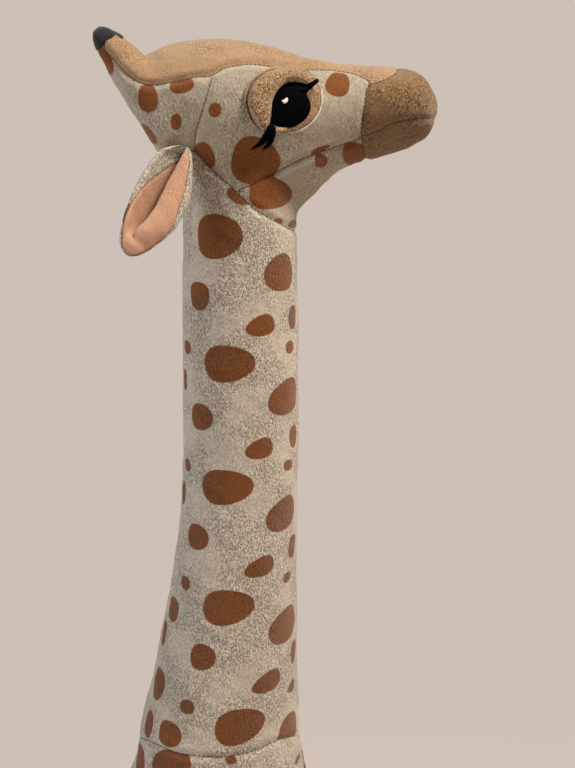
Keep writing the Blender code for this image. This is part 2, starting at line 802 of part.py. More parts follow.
crown_seam = [on_head(share) for share in CROWN_SEAM_shares]
cheek_seam = [crown_seam[CHEEK_SEAM_START]] + [on_head(share) for share in CHEEK_SEAM_shares]
jaw_seam = [on_head(share) for share in JAW_SEAM_shares]
muzzle_seam = [crown_seam[MUZZLE_SEAM_START]] + [on_head(share) for share in MUZZLE_SEAM_shares]
muzzle_lower = [on_head(share) for share in MUZZLE_LOWER_shares]
mouth_seam = [on_head(share) for share in MOUTH_SEAM_shares]
over = UP * HEAD_HEIGHT
crown_over_nape = crown_seam[: CHEEK_SEAM_START + 1]
crown_over_face = crown_seam[CHEEK_SEAM_START : MUZZLE_SEAM_START + 1]
crown_over_muzzle = crown_seam[MUZZLE_SEAM_START:]
muzzle_corner = muzzle_seam[-1]
below_nape = [cheek_seam[-1] - over, crown_seam[0] - 2 * over]
below_jaw = [muzzle_lower[-1] - over, jaw_seam[0] - over]
below_chin = [mouth_seam[-1] - over, muzzle_lower[-1] - over]
room_outlines = {
    "crown": crown_seam + [crown_seam[-1] + over, crown_seam[0] + over],
    "nape": crown_over_nape + cheek_seam[1:] + below_nape,
    "face": crown_over_face + muzzle_seam[1:] + jaw_seam[::-1] + cheek_seam[:0:-1],
    "jaw": jaw_seam + [muzzle_corner] + muzzle_lower + below_jaw,
    "muzzle": crown_over_muzzle + [mouth_seam[-1] + over] + mouth_seam[::-1] + muzzle_seam[:0:-1],
    "chin": mouth_seam + below_chin + muzzle_lower[::-1] + [muzzle_corner],
}
head_rooms = {
    name: prism(name + "_room", drawn_in(outline, SEW_WIDTH / 2))
    for name, outline in room_outlines.items()
}
crown_panel = keep(copy_of(head_shell, "crown_panel", parts), head_rooms["crown"])
jaw_panel = keep(copy_of(head_shell, "jaw_panel", parts), head_rooms["jaw"])
muzzle_panel = keep(copy_of(head_shell, "muzzle_panel", parts), head_rooms["muzzle"])
chin_panel = keep(copy_of(head_shell, "chin_panel", parts), head_rooms["chin"])
side_panels = []
for name in ("face", "nape"):
    for word, side in RIGHT_AND_LEFT:
        panel = copy_of(head_shell, name + "_panel_" + word, parts)
        side_panels.append(keep(panel, head_rooms[name], halves[side]))

# Horns: a sewn cone on each side of the crown, with a black end
horn_way = Vector((-math.sin(HORN_TIP_LEAN), 0, math.cos(HORN_TIP_LEAN)))
horn_front = Vector((math.cos(HORN_TIP_LEAN), 0, math.sin(HORN_TIP_LEAN)))
horn_base = on_head(HORN_BASE_shares) - SIDE * HORN_SPREAD


def horn_form(name):
    rings = []
    for along, radius in HORN_shares:
        reach = HORN_RADIUS * radius
        centre = horn_base + horn_way * HORN_LENGTH * along
        rings.append((centre, horn_front * reach, SIDE * reach))
    return loft(name, rings, (None, horn_base + horn_way * HORN_LENGTH), parts)


horn_end = horn_base + horn_way * (HORN_LENGTH - HORN_TIP_LENGTH - GAP / 2)
tip_start = horn_end + horn_way * GAP
beyond_end = block("beyond_end", horn_end, horn_way, horn_front, HORN_LENGTH, HEAD_BREADTH)
short_of_tip = block("short_of_tip", tip_start, -horn_way, horn_front, HEAD_HEIGHT, HEAD_BREADTH)
horn = cut(horn_form("horn_right"), head_outside, beyond_end)
horn_tip = cut(horn_form("horn_tip_right"), short_of_tip)

# Eyes: a padded lid patch, the eye set in it, its glint and its lashes
head_surface = surface_of(head_outside)
eye_centre, eye_normal = seat(head_surface, on_head(EYE_shares))
lid_centre, lid_normal = seat(head_surface, on_head(LID_shares))


def eye_lens(name, grown, collection):
    reach = EYE_RADIUS + grown
    return lens(name, eye_centre, eye_normal, (reach, reach, EYE_DEPTH + grown), collection)


def lid_lens(name, grown, collection):
    reaches = (LID_LENGTH / 2 + grown, LID_HEIGHT / 2 + grown, LID_DEPTH + grown)
    return lens(name, lid_centre, lid_normal, reaches, collection, LID_TILT)


def lash_room(name, points):
    """A tapering stroke through points, as a shape that reaches out from the plane of symmetry."""
    one_edge, other_edge = [], []
    for index, point in enumerate(points):
        after = points[min(index + 1, len(points) - 1)]
        way = (after - points[max(index - 1, 0)]).normalized()
        half = LASH_WIDTH / 2 * (1 - index / len(points))
        offset = Vector((-way.z, 0, way.x)) * half
        one_edge.append(point + offset)
        other_edge.append(point - offset)
    return prism(name, one_edge + other_edge[::-1], high_y=0)


eye_room = eye_lens("eye_room", GAP, cutters)
lid_room = lid_lens("lid_room", GAP, cutters)
eye = cut(eye_lens("eye_right", 0, parts), head_outside)
eyelid = cut(lid_lens("eyelid_right", 0, parts), head_outside, eye_room)
glint_seat = seat(surface_of(eye_room), on_head(GLINT_shares))
glint_halves = (GLINT_LENGTH / 2, GLINT_LENGTH / 2, GLINT_DEPTH)
glint = lens("eye_glint_right", *glint_seat, glint_halves, parts, segments=GLINT_SEGMENTS)
cut(glint, eye_room)
lash_skin = head_form("lash_skin", -GAP - LASH_DEPTH, cutters)
combine(lash_skin, lid_lens("lid_skin", GAP + LASH_DEPTH, cutters), "UNION")


def eyelash(name, strokes):
    rooms = [lash_room("lash_room", [on_head(share) for share in stroke]) for stroke in strokes]
    for room in rooms[1:]:
        combine(rooms[0], room, "UNION")
    made = keep(copy_of(lash_skin, name, parts), rooms[0])
    return cut(made, head_outside, lid_room, eye_room)


upper_eyelash = eyelash("eyelash_upper_right", UPPER_LASH_shares)
lower_eyelash = eyelash("eyelash_lower_right", LOWER_LASH_shares)

# Ears: each hangs from its sewn root, which its hinge runs along
ear_back_way = Vector((-math.sin(EAR_BACKWARD), 0, -math.cos(EAR_BACKWARD)))
ear_length_way = ear_back_way * math.cos(EAR_OUTWARD) - SIDE * math.sin(EAR_OUTWARD)
ear_width_way = Vector((math.cos(EAR_BACKWARD), 0, -math.sin(EAR_BACKWARD)))
ear_face_way = ear_length_way.cross(ear_width_way)
ear_seat, ear_seat_normal = seat(head_surface, on_head(EAR_ROOT_shares))
ear_pivot = ear_seat + ear_seat_normal * EAR_ROOT_RADIUS


def ear_form(name, narrowed, thickness, raised, collection, start=0.0):
    """An ear's leaf shape, drawn in by narrowed all round, its middle raised towards its face."""
    rings = []
    length = EAR_LENGTH - narrowed * 2
    for along, width, thick in EAR_shares:
        centre = ear_pivot + ear_length_way * (start + narrowed * (along > 0) + length * along)
        half_width = max(EAR_WIDTH / 2 * width - narrowed, narrowed / 2)
        half_thick = thickness / 2 * thick
        ring = (centre + ear_face_way * raised, ear_width_way * half_width, ear_face_way * half_thick)
        rings.append(ring)
    root = rings[0][0] - ear_length_way * EAR_ROOT_RADIUS
    tip = rings[-1][0] + ear_length_way * EAR_ROOT_RADIUS
    return loft(name, rings, (root, tip), collection, LIMB_POINTS)


lining_raise = EAR_THICKNESS / 4
lining_start = EAR_BORDER * 2


def lining_form(name, grown, collection):
    """The ear's lining, which lies in a pocket in its face."""
    thickness = EAR_THICKNESS / 2 + 2 * grown
    border = EAR_BORDER - grown
    return ear_form(name, border, thickness, lining_raise, collection, lining_start - grown)


ear_lining = lining_form("ear_lining_right", 0, parts)
ear_pocket = lining_form("ear_pocket", GAP, cutters)
rim_height = ear_pivot + ear_face_way * EAR_THICKNESS / 8
ear_front = block("ear_front", rim_height, ear_face_way, ear_width_way, EAR_LENGTH, EAR_LENGTH * 2)
ear_back = cut(ear_form("ear_back_right", 0, EAR_THICKNESS, 0, parts), ear_front, ear_pocket)

# Tail: it leaves the rump square to it and hangs down to a brown tuft
body_surface = surface_of(body_outside)
tail_height = on_body(TAIL_shares).z
tail_seat, _, _, _ = body_surface.ray_cast(Vector((-BODY_LENGTH * 2, 0, tail_height)), FORWARD)
tail_way = Vector((-math.cos(TAIL_RAISE), 0, math.sin(TAIL_RAISE)))
tail_pivot = tail_seat + tail_way * GAP
hang_way = Vector((-math.sin(TAIL_HANG), 0, -math.cos(TAIL_HANG)))
tail_elbow = tail_pivot + tail_way * TAIL_ROOT_LENGTH
tail_end = tail_elbow + hang_way * TAIL_LENGTH
tail_route = rounded([tail_pivot, tail_elbow, tail_end], TAIL_ROOT_LENGTH)
tail = rod("tail", tail_route, TAIL_RADIUS, parts)
tuft_side = hang_way.cross(SIDE)
tuft_rings = []
for along, radius in TUFT_shares:
    reach = TUFT_RADIUS * radius
    centre = tail_end + hang_way * (GAP + TUFT_LENGTH * along)
    tuft_rings.append((centre, tuft_side * reach, SIDE * reach))
tuft_ends = (None, tail_end + hang_way * TUFT_LENGTH)
tail_tuft = loft("tail_tuft", tuft_rings, tuft_ends, parts, LIMB_POINTS)


def mirrored(obj, name):
    """The left piece that matches a right one."""
    bm = bmesh.new()
    bm.from_mesh(obj.data)
    bm.transform(Matrix.Diagonal((1, -1, 1, 1)))
    bmesh.ops.reverse_faces(bm, faces=bm.faces)
    return object_of(bm, name, parts, turn_out=False)


# Left pieces, and each piece's material and body
bodies = {
    "torso": (Vector((0, 0, 0)), None),
    "lower_neck": (LEAN_PIVOT, "torso"),
    "upper_neck": (TURN_PIVOT, "lower_neck"),
    "head": (NOD_PIVOT, "upper_neck"),
    "ear_right": (ear_pivot, "head"),
    "ear_left": (Vector((ear_pivot.x, -ear_pivot.y, ear_pivot.z)), "head"),
    "tail": (tail_pivot, "torso"),
}
pieces = [
    (body_stuffing, fill, "torso"),
    (belly_panel, cream, "torso"),
    (wires["front_leg_frame"], steel, "torso"),
    (wires["rear_leg_frame"], steel, "torso"),
    (wires["spine_wire"], steel, "torso"),
    (lower_neck_cover, cream, "lower_neck"),
    (lower_neck_stuffing, fill, "lower_neck"),
    (wires["lower_neck_wire"], steel, "lower_neck"),
    (upper_neck_cover, cream, "upper_neck"),
    (upper_neck_stuffing, fill, "upper_neck"),
    (wires["upper_neck_wire"], steel, "upper_neck"),
    (head_stuffing, fill, "head"),
    (crown_panel, tan, "head"),
    (jaw_panel, cream, "head"),
    (muzzle_panel, tan, "head"),
    (chin_panel, tan, "head"),
    (wires["head_wire"], steel, "head"),
    (tail, cream, "tail"),
    (tail_tuft, brown, "tail"),
]
pieces += [(panel, cream, "torso") for panel in body_panels]
pieces += [(panel, cream, "head") for panel in side_panels]
paired = [
    (horn, cream, "head"),
    (horn_tip, black, "head"),
    (eye, black, "head"),
    (eyelid, tan, "head"),
    (glint, white, "head"),
    (upper_eyelash, black, "head"),
    (lower_eyelash, black, "head"),
    (ear_back, cream, "ear_right"),
    (ear_lining, pink, "ear_right"),
]
for leg in leg_pieces.values():
    paired += [(piece, material, "torso") for piece, material in zip(leg, (cream, fill, brown, brown))]
for obj, material, body in paired:
    pieces.append((obj, material, body))
    left = mirrored(obj, obj.name.replace("right", "left"))
    pieces.append((left, material, body.replace("right", "left")))

# The floor mark lies under the middle of the whole object
spans = [corner.co.x for obj, _, _ in pieces for corner in obj.data.vertices]
to_middle = FORWARD * -(min(spans) + max(spans)) / 2
empties = {}
for name, (pivot, parent) in bodies.items():
    empty = bpy.data.objects.new(name + "_body", None)
    empty.empty_display_size = NECK_RADIUS
    parts.objects.link(empty)
    world = pivot + to_middle if parent else pivot
    if parent:
        empty.parent = empties[parent][0]
        empty.location = world - empties[parent][1]
    empties[name] = (empty, world)
    print(name, "pivot", [round(value, 6) for value in world])
for obj, material, body in pieces:
    empty, world = empties[body]
    obj.data.transform(Matrix.Translation(to_middle - world))
    obj.parent = empty
    obj.data.materials.clear()
    obj.data.materials.append(material)
    obj.data.shade_smooth()
print("ear axis", [round(value, 6) for value in ear_width_way])
print("tail axis", [round(value, 6) for value in tail_way])
print("neck axis", [round(value, 6) for value in NECK_UP])

cutters.hide_render = True
for cutter in cutters.objects:
    cutter.hide_render = True
    cutter.display_type = "WIRE"
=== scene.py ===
"""Skins, eyes, ears, hooves and tail of a tall plush giraffe, with its plain stage.

+X points to the nose, +Z up and +Y to the giraffe's left. Lengths are in metres unless a name ends
in mm. A table whose name ends in shares holds shares of named sizes, and one whose name ends in
pixels holds places in the photograph's frame, which are carried onto the giraffe's right side.
"""

import json
import math

import bmesh
import bpy
import numpy as np
from mathutils import Matrix, Vector
from mathutils.bvhtree import BVHTree

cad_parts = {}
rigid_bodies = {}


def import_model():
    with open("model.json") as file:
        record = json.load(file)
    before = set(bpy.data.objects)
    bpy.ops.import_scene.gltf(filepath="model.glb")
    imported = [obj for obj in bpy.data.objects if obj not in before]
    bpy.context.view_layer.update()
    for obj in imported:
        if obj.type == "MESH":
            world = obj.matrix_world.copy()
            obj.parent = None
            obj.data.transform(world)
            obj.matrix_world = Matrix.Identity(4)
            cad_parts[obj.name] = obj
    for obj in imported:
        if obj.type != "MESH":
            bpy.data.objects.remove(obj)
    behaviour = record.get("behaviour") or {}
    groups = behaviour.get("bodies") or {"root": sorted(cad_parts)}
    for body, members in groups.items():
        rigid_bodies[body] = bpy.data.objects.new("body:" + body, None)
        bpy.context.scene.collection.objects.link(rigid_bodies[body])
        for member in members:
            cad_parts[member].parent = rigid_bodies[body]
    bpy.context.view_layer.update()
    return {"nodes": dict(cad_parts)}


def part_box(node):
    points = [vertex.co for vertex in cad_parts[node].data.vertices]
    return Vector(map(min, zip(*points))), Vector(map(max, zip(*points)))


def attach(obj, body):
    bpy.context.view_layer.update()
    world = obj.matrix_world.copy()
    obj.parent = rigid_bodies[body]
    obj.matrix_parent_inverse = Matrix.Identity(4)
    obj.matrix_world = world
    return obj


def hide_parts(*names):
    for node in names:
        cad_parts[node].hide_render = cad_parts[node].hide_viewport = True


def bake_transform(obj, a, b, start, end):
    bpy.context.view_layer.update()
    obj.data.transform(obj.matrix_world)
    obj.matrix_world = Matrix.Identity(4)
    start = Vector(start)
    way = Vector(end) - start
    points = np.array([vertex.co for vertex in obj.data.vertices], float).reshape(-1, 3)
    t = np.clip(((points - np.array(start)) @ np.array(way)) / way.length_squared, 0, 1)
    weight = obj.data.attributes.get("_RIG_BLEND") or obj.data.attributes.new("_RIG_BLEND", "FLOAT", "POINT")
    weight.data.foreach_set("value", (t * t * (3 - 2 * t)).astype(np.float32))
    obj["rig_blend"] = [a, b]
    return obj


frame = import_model()

bl_info = {
    "name": "Plush giraffe skins",
    "version": (1, 0, 0),
    "blender": (4, 5, 0),
    "location": "View3D > Sidebar > Giraffe",
    "description": "Printed velour skins, eyes, ears, hooves and tail for the tall plush giraffe",
    "category": "Object",
}

# The photograph's view
FRAME_WIDTH, FRAME_HEIGHT = 575, 768
FOCAL_PIXELS = 1300.0
CAMERA_PLACE = Vector((0.1741, -1.016, 1.288))
CAMERA_PITCH = math.radians(12.4)
CAMERA_ROLL = math.radians(5.8)
SENSOR_WIDTH_MM = 36.0
PIXELS_PER_MM = 1.31

# Body, legs and neck
BODY_LENGTH = 0.430
BODY_HEIGHT = 0.200
BODY_BREADTH = 0.186
BELLY_HEIGHT = 0.490
BODY_CENTRE_X = -0.060
SHANK_RADIUS = 0.034
LEG_TOP = 0.680
FRONT_FOOT_X = 0.098
REAR_FOOT_X = -0.218
FOOT_Y = 0.060
HOOF_HEIGHT = 0.070
HOOF_RADIUS = 0.038
SOLE_RADIUS = 0.035
SOLE_THICKNESS = 0.003
NECK_BASE = Vector((0.109, 0, 0.780))
NECK_LEAN = math.radians(5.64)
NECK_LENGTH = 0.392
NECK_RADIUS = 0.0455
TURN_ALONG = 0.225
NOD_ALONG = 0.312
NECK_UP = Vector((math.sin(NECK_LEAN), 0, math.cos(NECK_LEAN)))
NECK_FORWARD = Vector((math.cos(NECK_LEAN), 0, -math.sin(NECK_LEAN)))
NOD_PIVOT = NECK_BASE + NECK_UP * NECK_LENGTH - NECK_FORWARD * 0.020
HEAD_LENGTH = 0.240
HEAD_HEIGHT = 0.150
HEAD_BREADTH = 0.098

# Neck sections: along the neck, then front, back and half breadth
NECK_SECTION_shares = (
    (1.250, 0.94, 0.96, 0.94),
    (1.025, 0.97, 0.99, 0.97),
    (0.820, 1.00, 1.02, 0.98),
    (0.574, 1.00, 1.05, 1.00),
    (0.395, 0.98, 1.19, 1.10),
    (0.175, 0.98, 1.55, 1.23),
    (0.000, 1.02, 1.89, 1.36),
)
# Body sections under the neck: front point (x, z), back point (x, z), half breadth
BODY_SECTION_shares = (
    ((0.500, 1.240), (0.160, 1.275), 0.730),
    ((0.505, 1.000), (0.107, 1.130), 0.820),
    ((0.488, 0.640), (0.019, 1.045), 0.935),
    ((0.367, 0.210), (-0.093, 1.010), 1.000),
    ((0.151, 0.040), (-0.209, 0.980), 1.000),
    ((-0.081, 0.000), (-0.326, 0.900), 0.946),
    ((-0.274, 0.025), (-0.430, 0.725), 0.796),
    ((-0.409, 0.085), (-0.488, 0.500), 0.516),
    ((-0.500, 0.275), (-0.503, 0.305), 0.030),
)
# Head sections: top point and bottom point from the nod pivot, and half breadth
HEAD_SECTION_shares = (
    ((-0.262, 0.955), (-0.262, 0.940), 0.03),
    ((-0.235, 1.000), (-0.220, 0.855), 0.36),
    ((-0.152, 1.045), (-0.150, 0.600), 0.69),
    ((-0.065, 1.087), (-0.068, 0.350), 0.86),
    ((0.064, 1.100), (0.070, 0.220), 0.96),
    ((0.201, 1.053), (0.214, 0.153), 1.00),
    ((0.302, 0.987), (0.315, 0.238), 0.96),
    ((0.401, 0.930), (0.408, 0.356), 0.85),
    ((0.480, 0.903), (0.480, 0.402), 0.75),
    ((0.556, 0.881), (0.560, 0.423), 0.71),
    ((0.635, 0.860), (0.648, 0.447), 0.66),
    ((0.710, 0.818), (0.722, 0.503), 0.51),
    ((0.760, 0.672), (0.760, 0.640), 0.04),
)
# Leg sections: height, forward shift, inward shift, half length, half breadth
FRONT_LEG_shares = (
    (0.040, 0.0, 0.0, 0.98, 0.98),
    (0.110, 0.0, 0.0, 1.00, 1.00),
    (0.350, 0.0, 0.0, 1.00, 1.00),
    (0.560, 0.0, 0.0, 1.10, 1.08),
    (0.700, -0.06, -0.06, 1.28, 1.20),
    (0.800, -0.15, -0.18, 1.42, 1.22),
    (0.890, -0.28, -0.36, 1.30, 1.02),
    (0.955, -0.38, -0.55, 0.85, 0.62),
    (0.985, -0.41, -0.62, 0.06, 0.06),
)
REAR_LEG_shares = (
    (0.040, 0.0, 0.0, 0.98, 0.98),
    (0.110, 0.0, 0.0, 1.00, 1.00),
    (0.350, 0.0, 0.0, 1.00, 1.00),
    (0.560, 0.06, 0.0, 1.12, 1.08),
    (0.690, 0.15, -0.08, 1.42, 1.20),
    (0.775, 0.26, -0.24, 1.62, 1.22),
    (0.840, 0.34, -0.46, 1.42, 1.02),
    (0.885, 0.38, -0.66, 0.90, 0.62),
    (0.915, 0.40, -0.72, 0.06, 0.06),
)
# The head is widest above its middle, so that the face slopes in to the jaw
HEAD_EGG = 0.31
HOOF_shares = (
    (0.0, 0.60), (0.03, 0.90), (0.10, 0.985), (0.35, 1.0), (0.70, 0.985), (0.90, 0.95), (1.0, 0.88)
)
BELLY_SEAM_shares = (
    (-0.600, 0.300), (-0.400, 0.300), (0.300, 0.300), (0.420, 0.700), (0.560, 1.100)
)

# Horns
HORN_BASE_shares = (-0.195, 0.975)
HORN_LEAN = math.radians(32)
HORN_SPREAD = 0.024
HORN_LENGTH = 0.0390
HORN_RADIUS = 0.015
HORN_TIP_LENGTH = 0.016
HORN_shares = (
    (-1.50, 1.30), (-1.00, 1.20), (-0.50, 1.10), (0.0, 1.00), (0.30, 0.88), (0.62, 0.69), (0.86, 0.46),
    (0.98, 0.16),
)

# Ears: root, and the ways of their length, width and face
EAR_ROOT = Vector((0.1160, -0.0400, 1.2570))
EAR_OUTWARD = math.radians(25)
EAR_BACKWARD = math.radians(34.8)
EAR_LENGTH = 0.0925
# Along the ear: its rear half's width, its front half's width, and how far the flap's edge lies
# from the middle, how deep the pocket behind it is, and how much of the ear is a plain lobe
EAR_shares = (
    (-0.030, 0.030, 0.030, 0.00, 0.20, 0.60),
    (0.000, 0.078, 0.065, 0.04, 0.55, 0.20),
    (0.060, 0.140, 0.098, 0.06, 0.85, 0.00),
    (0.140, 0.182, 0.142, 0.06, 1.00, 0.00),
    (0.320, 0.200, 0.217, 0.06, 1.00, 0.00),
    (0.510, 0.198, 0.236, 0.10, 1.00, 0.00),
    (0.650, 0.180, 0.222, 0.06, 0.95, 0.00),
    (0.750, 0.160, 0.188, -0.10, 0.75, 0.06),
    (0.820, 0.141, 0.160, -0.36, 0.40, 0.42),
    (0.880, 0.118, 0.130, -0.58, 0.05, 0.95),
    (0.950, 0.080, 0.085, -0.62, 0.00, 1.00),
    (0.995, 0.018, 0.020, -0.62, 0.00, 1.00),
)
# Where the lining starts and ends across the ear, in mm of cloth from the rear and front edges
EAR_BORDER_mm = (
    (-0.030, 30.0, 8.0), (0.060, 30.0, 8.5), (0.130, 27.5, 9.6), (0.210, 24.0, 10.4), (0.330, 18.5, 10.8),
    (0.450, 12.5, 10.0), (0.560, 8.6, 7.0), (0.640, 6.0, 3.2), (0.760, 3.4, 1.2), (0.900, 2.2, 1.0),
    (0.995, 1.8, 1.0),
)
# Painted shade in the ear's pocket, by step round the section: most under the flap's edge, where the flap shades
# the pocket
EAR_POCKET_steps = (3.0, 4.0, 5.0, 6.0, 7.0, 8.0, 9.0, 10.0, 10.6)
EAR_POCKET_shades = (0.0, 0.02, 0.08, 0.26, 0.75, 1.0, 1.0, 0.55, 0.0)
EAR_SPOT_pixels = ((126.5, 214, 13, 30, -14, 0.0), (165, 250, 20, 9, -38, 0.0))
EAR_BACK_SPOT_pixels = (
    (150, 190, 24, 32, 20, 0.1), (140, 232, 18, 16, 0, 0.0), (178, 176, 14, 18, 10, 0.0),
    (170, 218, 20, 14, -30, 0.1),
)

# Tail
TAIL_RADIUS = 0.0078
TUFT_RADIUS = 0.0135
TUFT_LOCKS = 44
GOLDEN_TURN = 2.399963
TUFT_shares = ((0, 0.50), (0.10, 0.72), (0.30, 0.86), (0.55, 0.80), (0.78, 0.56), (0.95, 0.2))
TAIL_SPOT_MM = ((-30, -5, 22, 12, 0, 0), (6, 4, 18, 13, 0, 0), (36, -3, 16, 14, 0, 0))

# Cloth: how finely it is drawn and how far the stuffing pushes it out
HIDE_VOXEL = 0.0045
HIDE_START_INSET = 0.0018
PUFF_LIMIT = 0.0032
CLOTH_FRAMES = 16
CLOTH_PRESSURE = 4.0
SMALL_PIECE_FRAMES = 10
SEAM_DEPTH = 0.0016
SEAM_REACH_MM = 2.6
SHOULDER_OFF_MM = 4.2
SHOULDER_RISE = 0.00045
PUCKER_OFF_MM = 2.6
PUCKER_STEP_MM = 4.6
PUCKER_RISE = 0.00014
STITCH_STEP_MM = 3.4
RIM_OFF_MM = 0.75

# Heights that tell the giraffe's cloths and seams apart
HEAD_FLOOR = 1.15
CROWN_FLOOR = 1.2
NECK_SEAM_TOP = 1.17
HEAD_PRINT_FLOOR = 1.05
BASE_SEAM_TOP = 0.86
LEG_PRINT_TOP = 0.72
NECK_FLOOR = 0.7
SOLE_TOP = 0.05

# How far up the neck its skin bends at each joint
BASE_BEND = (0.022, 0.097)
TURN_BEND_LENGTH = 0.08
NOD_BEND_MARGIN = 0.005

# Seams of the head and neck, in the photograph's frame
CROWN_SEAM_pixels = (
    (88, 26), (97, 38), (104, 49), (111, 58), (120, 68), (130, 77), (138, 81.6), (145, 84), (155, 84.5), (165, 83),
    (180, 80), (195, 76.5), (210, 75), (225, 66.5), (239, 63.8), (254, 62.5), (277, 65.8), (290, 67.6),
    (315, 68), (330, 67.6), (343, 69), (356, 72), (368, 79), (371, 82.6), (376, 82), (385, 79),
    (391, 76), (397, 71), (402, 60),
)
MUZZLE_SEAM_pixels = (
    (372, 40), (369.5, 80), (367, 90), (365, 105), (363, 118), (362, 139), (366, 160), (372, 190)
)
MOUTH_SEAM_pixels = (
    (362, 137), (375, 133), (390, 125), (400, 122), (410, 120), (418, 119), (434, 119), (450, 119)
)
CHEEK_SEAM_pixels = ((212, 76), (207, 94), (200, 117), (195, 135), (194, 153))
JAW_SEAM_pixels = (
    (239, 190), (254, 184), (279, 172), (305, 159), (328, 150.5), (348, 144), (362, 139)
)
HEAD_SEAM_pixels = (
    (80, 176), (150, 163), (180, 152), (194, 153), (208, 167), (223, 180), (239, 194), (256, 210),
    (272, 219), (287, 227), (330, 246),
)
BASE_SEAM_pixels = (
    (60, 706), (120, 730), (157, 745), (174, 752.5), (192, 756), (211, 757.5), (234, 756), (258, 750),
    (278, 741), (300, 735), (350, 722),
)

# Printed spots of the head and of the neck, right side: centre, width, height, turn, narrowing
HEAD_SPOT_pixels = (
    (148, 98, 20, 29, -6, 0.05), (182, 85, 25, 17, -8, 0.05), (176, 122, 11, 17, 4, 0.0),
    (215, 110, 13, 15, 10, 0.0), (204, 156, 21, 29, -14, 0.1), (256, 161, 49, 47, 12, 0.12),
    (270.5, 193, 43, 33, 6, 0.12), (338, 84, 24, 25, 20, 0.08), (321, 149.5, 21, 6.5, -24, 0.1),
    (321, 161, 13.5, 13, 0, 0.0), (355, 154, 25, 22, -10, 0.12), (148, 134, 26, 10, 46, 0.1),
    (103, 61, 15, 32, -26, 0.1), (279, 222, 9, 8, 0, 0.0), (293, 224, 8, 8, 0, 0.0),
)
NECK_SPOT_pixels = (
    (220, 236, 46, 42, -4, 0.10), (278, 273, 28, 36, -12, -0.10), (200, 296, 19, 28, 0, 0.06),
    (292.5, 317, 7, 24, 0, 0.0), (260, 326, 30, 20, -14, -0.16), (186, 347, 9, 14, 0, 0.0),
    (290, 347, 8, 13, 0, 0.0), (230, 363, 51, 36, -4, 0.12), (182, 380, 9, 22, 0, 0.0),
    (283, 397, 30, 35, -14, -0.10), (202, 417, 21, 27, 0, 0.08), (294, 436, 8, 24, 0, 0.0),
    (259, 449, 29, 20, -14, -0.16), (288, 465, 9, 11, 0, 0.0), (186, 465, 8, 13, 0, 0.0),
    (228, 486, 52, 35, -4, 0.12), (180, 494, 9, 24, 0, 0.0), (280, 514, 28, 34, -14, -0.10),
    (198, 537, 21, 26, 0, 0.08), (293, 546, 8, 24, 0, 0.0), (259, 567, 30, 20, -14, -0.16),
    (287, 577, 8, 11, 0, 0.0), (185, 583, 10, 14, 0, 0.0), (229, 606, 52, 36, -4, 0.12),
    (172.5, 609, 12, 25, 8, 0.0), (282, 625, 25, 37, -10, -0.08), (161, 634, 10, 26, 0, 0.0),
    (295, 652, 8, 26, 0, 0.0), (203, 657, 26, 27, 0, 0.08), (266, 682, 28, 21, -14, -0.16),
    (292, 686, 7, 12, 0, 0.0), (158, 684, 12, 34, 8, 0.1), (187, 707, 15, 15, 0, 0.0),
    (148, 724, 9, 30, 10, 0.0), (240, 725, 50, 37, -6, 0.12), (170, 734, 23, 27, 0, 0.08),
    (288, 733, 18, 44, 0, 0.0), (132, 756, 10, 24, 10, 0.0), (172, 772, 38, 30, -8, 0.1),
    (237.5, 197, 25, 11, 36, 0.1),
)
BODY_SPOT_pixels = ((172, 766, 39, 34, -8, 0.1), (231, 760, 12, 8, 0, 0.0), (302, 764, 14, 20, 0, 0.0))
PRINT_REPEAT = 0.0965
# The same print on the body and legs, one repeat: across, up, width, height, turn, narrowing
PRINT_TILE_MM = (
    (0.0, 8.0, 42.0, 29.0, -4, 0.12), (45.0, -16.0, 25.0, 30.0, -14, -0.10),
    (-27.0, -33.0, 18.0, 23.0, 4, 0.08), (22.0, -47.0, 25.0, 17.0, -14, -0.16),
    (-46.0, 12.0, 9.0, 12.0, 0, 0.0), (53.0, 24.0, 9.0, 11.0, 10, 0.0),
    (-50.0, -18.0, 14.0, 21.0, 8, 0.05),
)
PRINT_TILE_WIDTH_MM = 118.0

# Eye and lid, in the photograph's frame
EYE_CENTRE_pixels = (290.5, 106)
LID_OUTLINE_pixels = (
    (321.5, 96), (320.5, 106), (316.5, 115), (309, 123.5), (300, 129), (291, 131.8), (283, 132.8),
    (275, 132.6), (266, 131.6), (258, 128.5), (251, 121.5), (246, 112), (243.2, 102), (244.2, 92),
    (248.5, 83.5), (255, 76.5), (263.5, 71.3), (273, 68.7), (284, 68), (295, 68.6), (304, 70.8),
    (311.5, 75.5), (317.5, 83), (320.8, 90),
)
EYE_OUTLINE_pixels = (
    (310.4, 106.5), (308.6, 113.9), (303.6, 120.3), (295.2, 125.9), (285.4, 127.8), (276.5, 126.6),
    (271.2, 124.4), (270.5, 118), (270.7, 111), (271.4, 104), (273.4, 97.2), (277.6, 90.8), (283.2, 85.9),
    (288.4, 83.6), (295.2, 83.0), (302.2, 84.2), (307.6, 86.6), (308.4, 90.8), (306.8, 94.6), (309, 99.9),
)
GLINT_OUTLINE_pixels = (
    (288.0, 98.8), (287.4, 101.6), (285.2, 103.4), (283.2, 103.0), (281.6, 100.8), (284, 99.6), (286.4, 97.8)
)
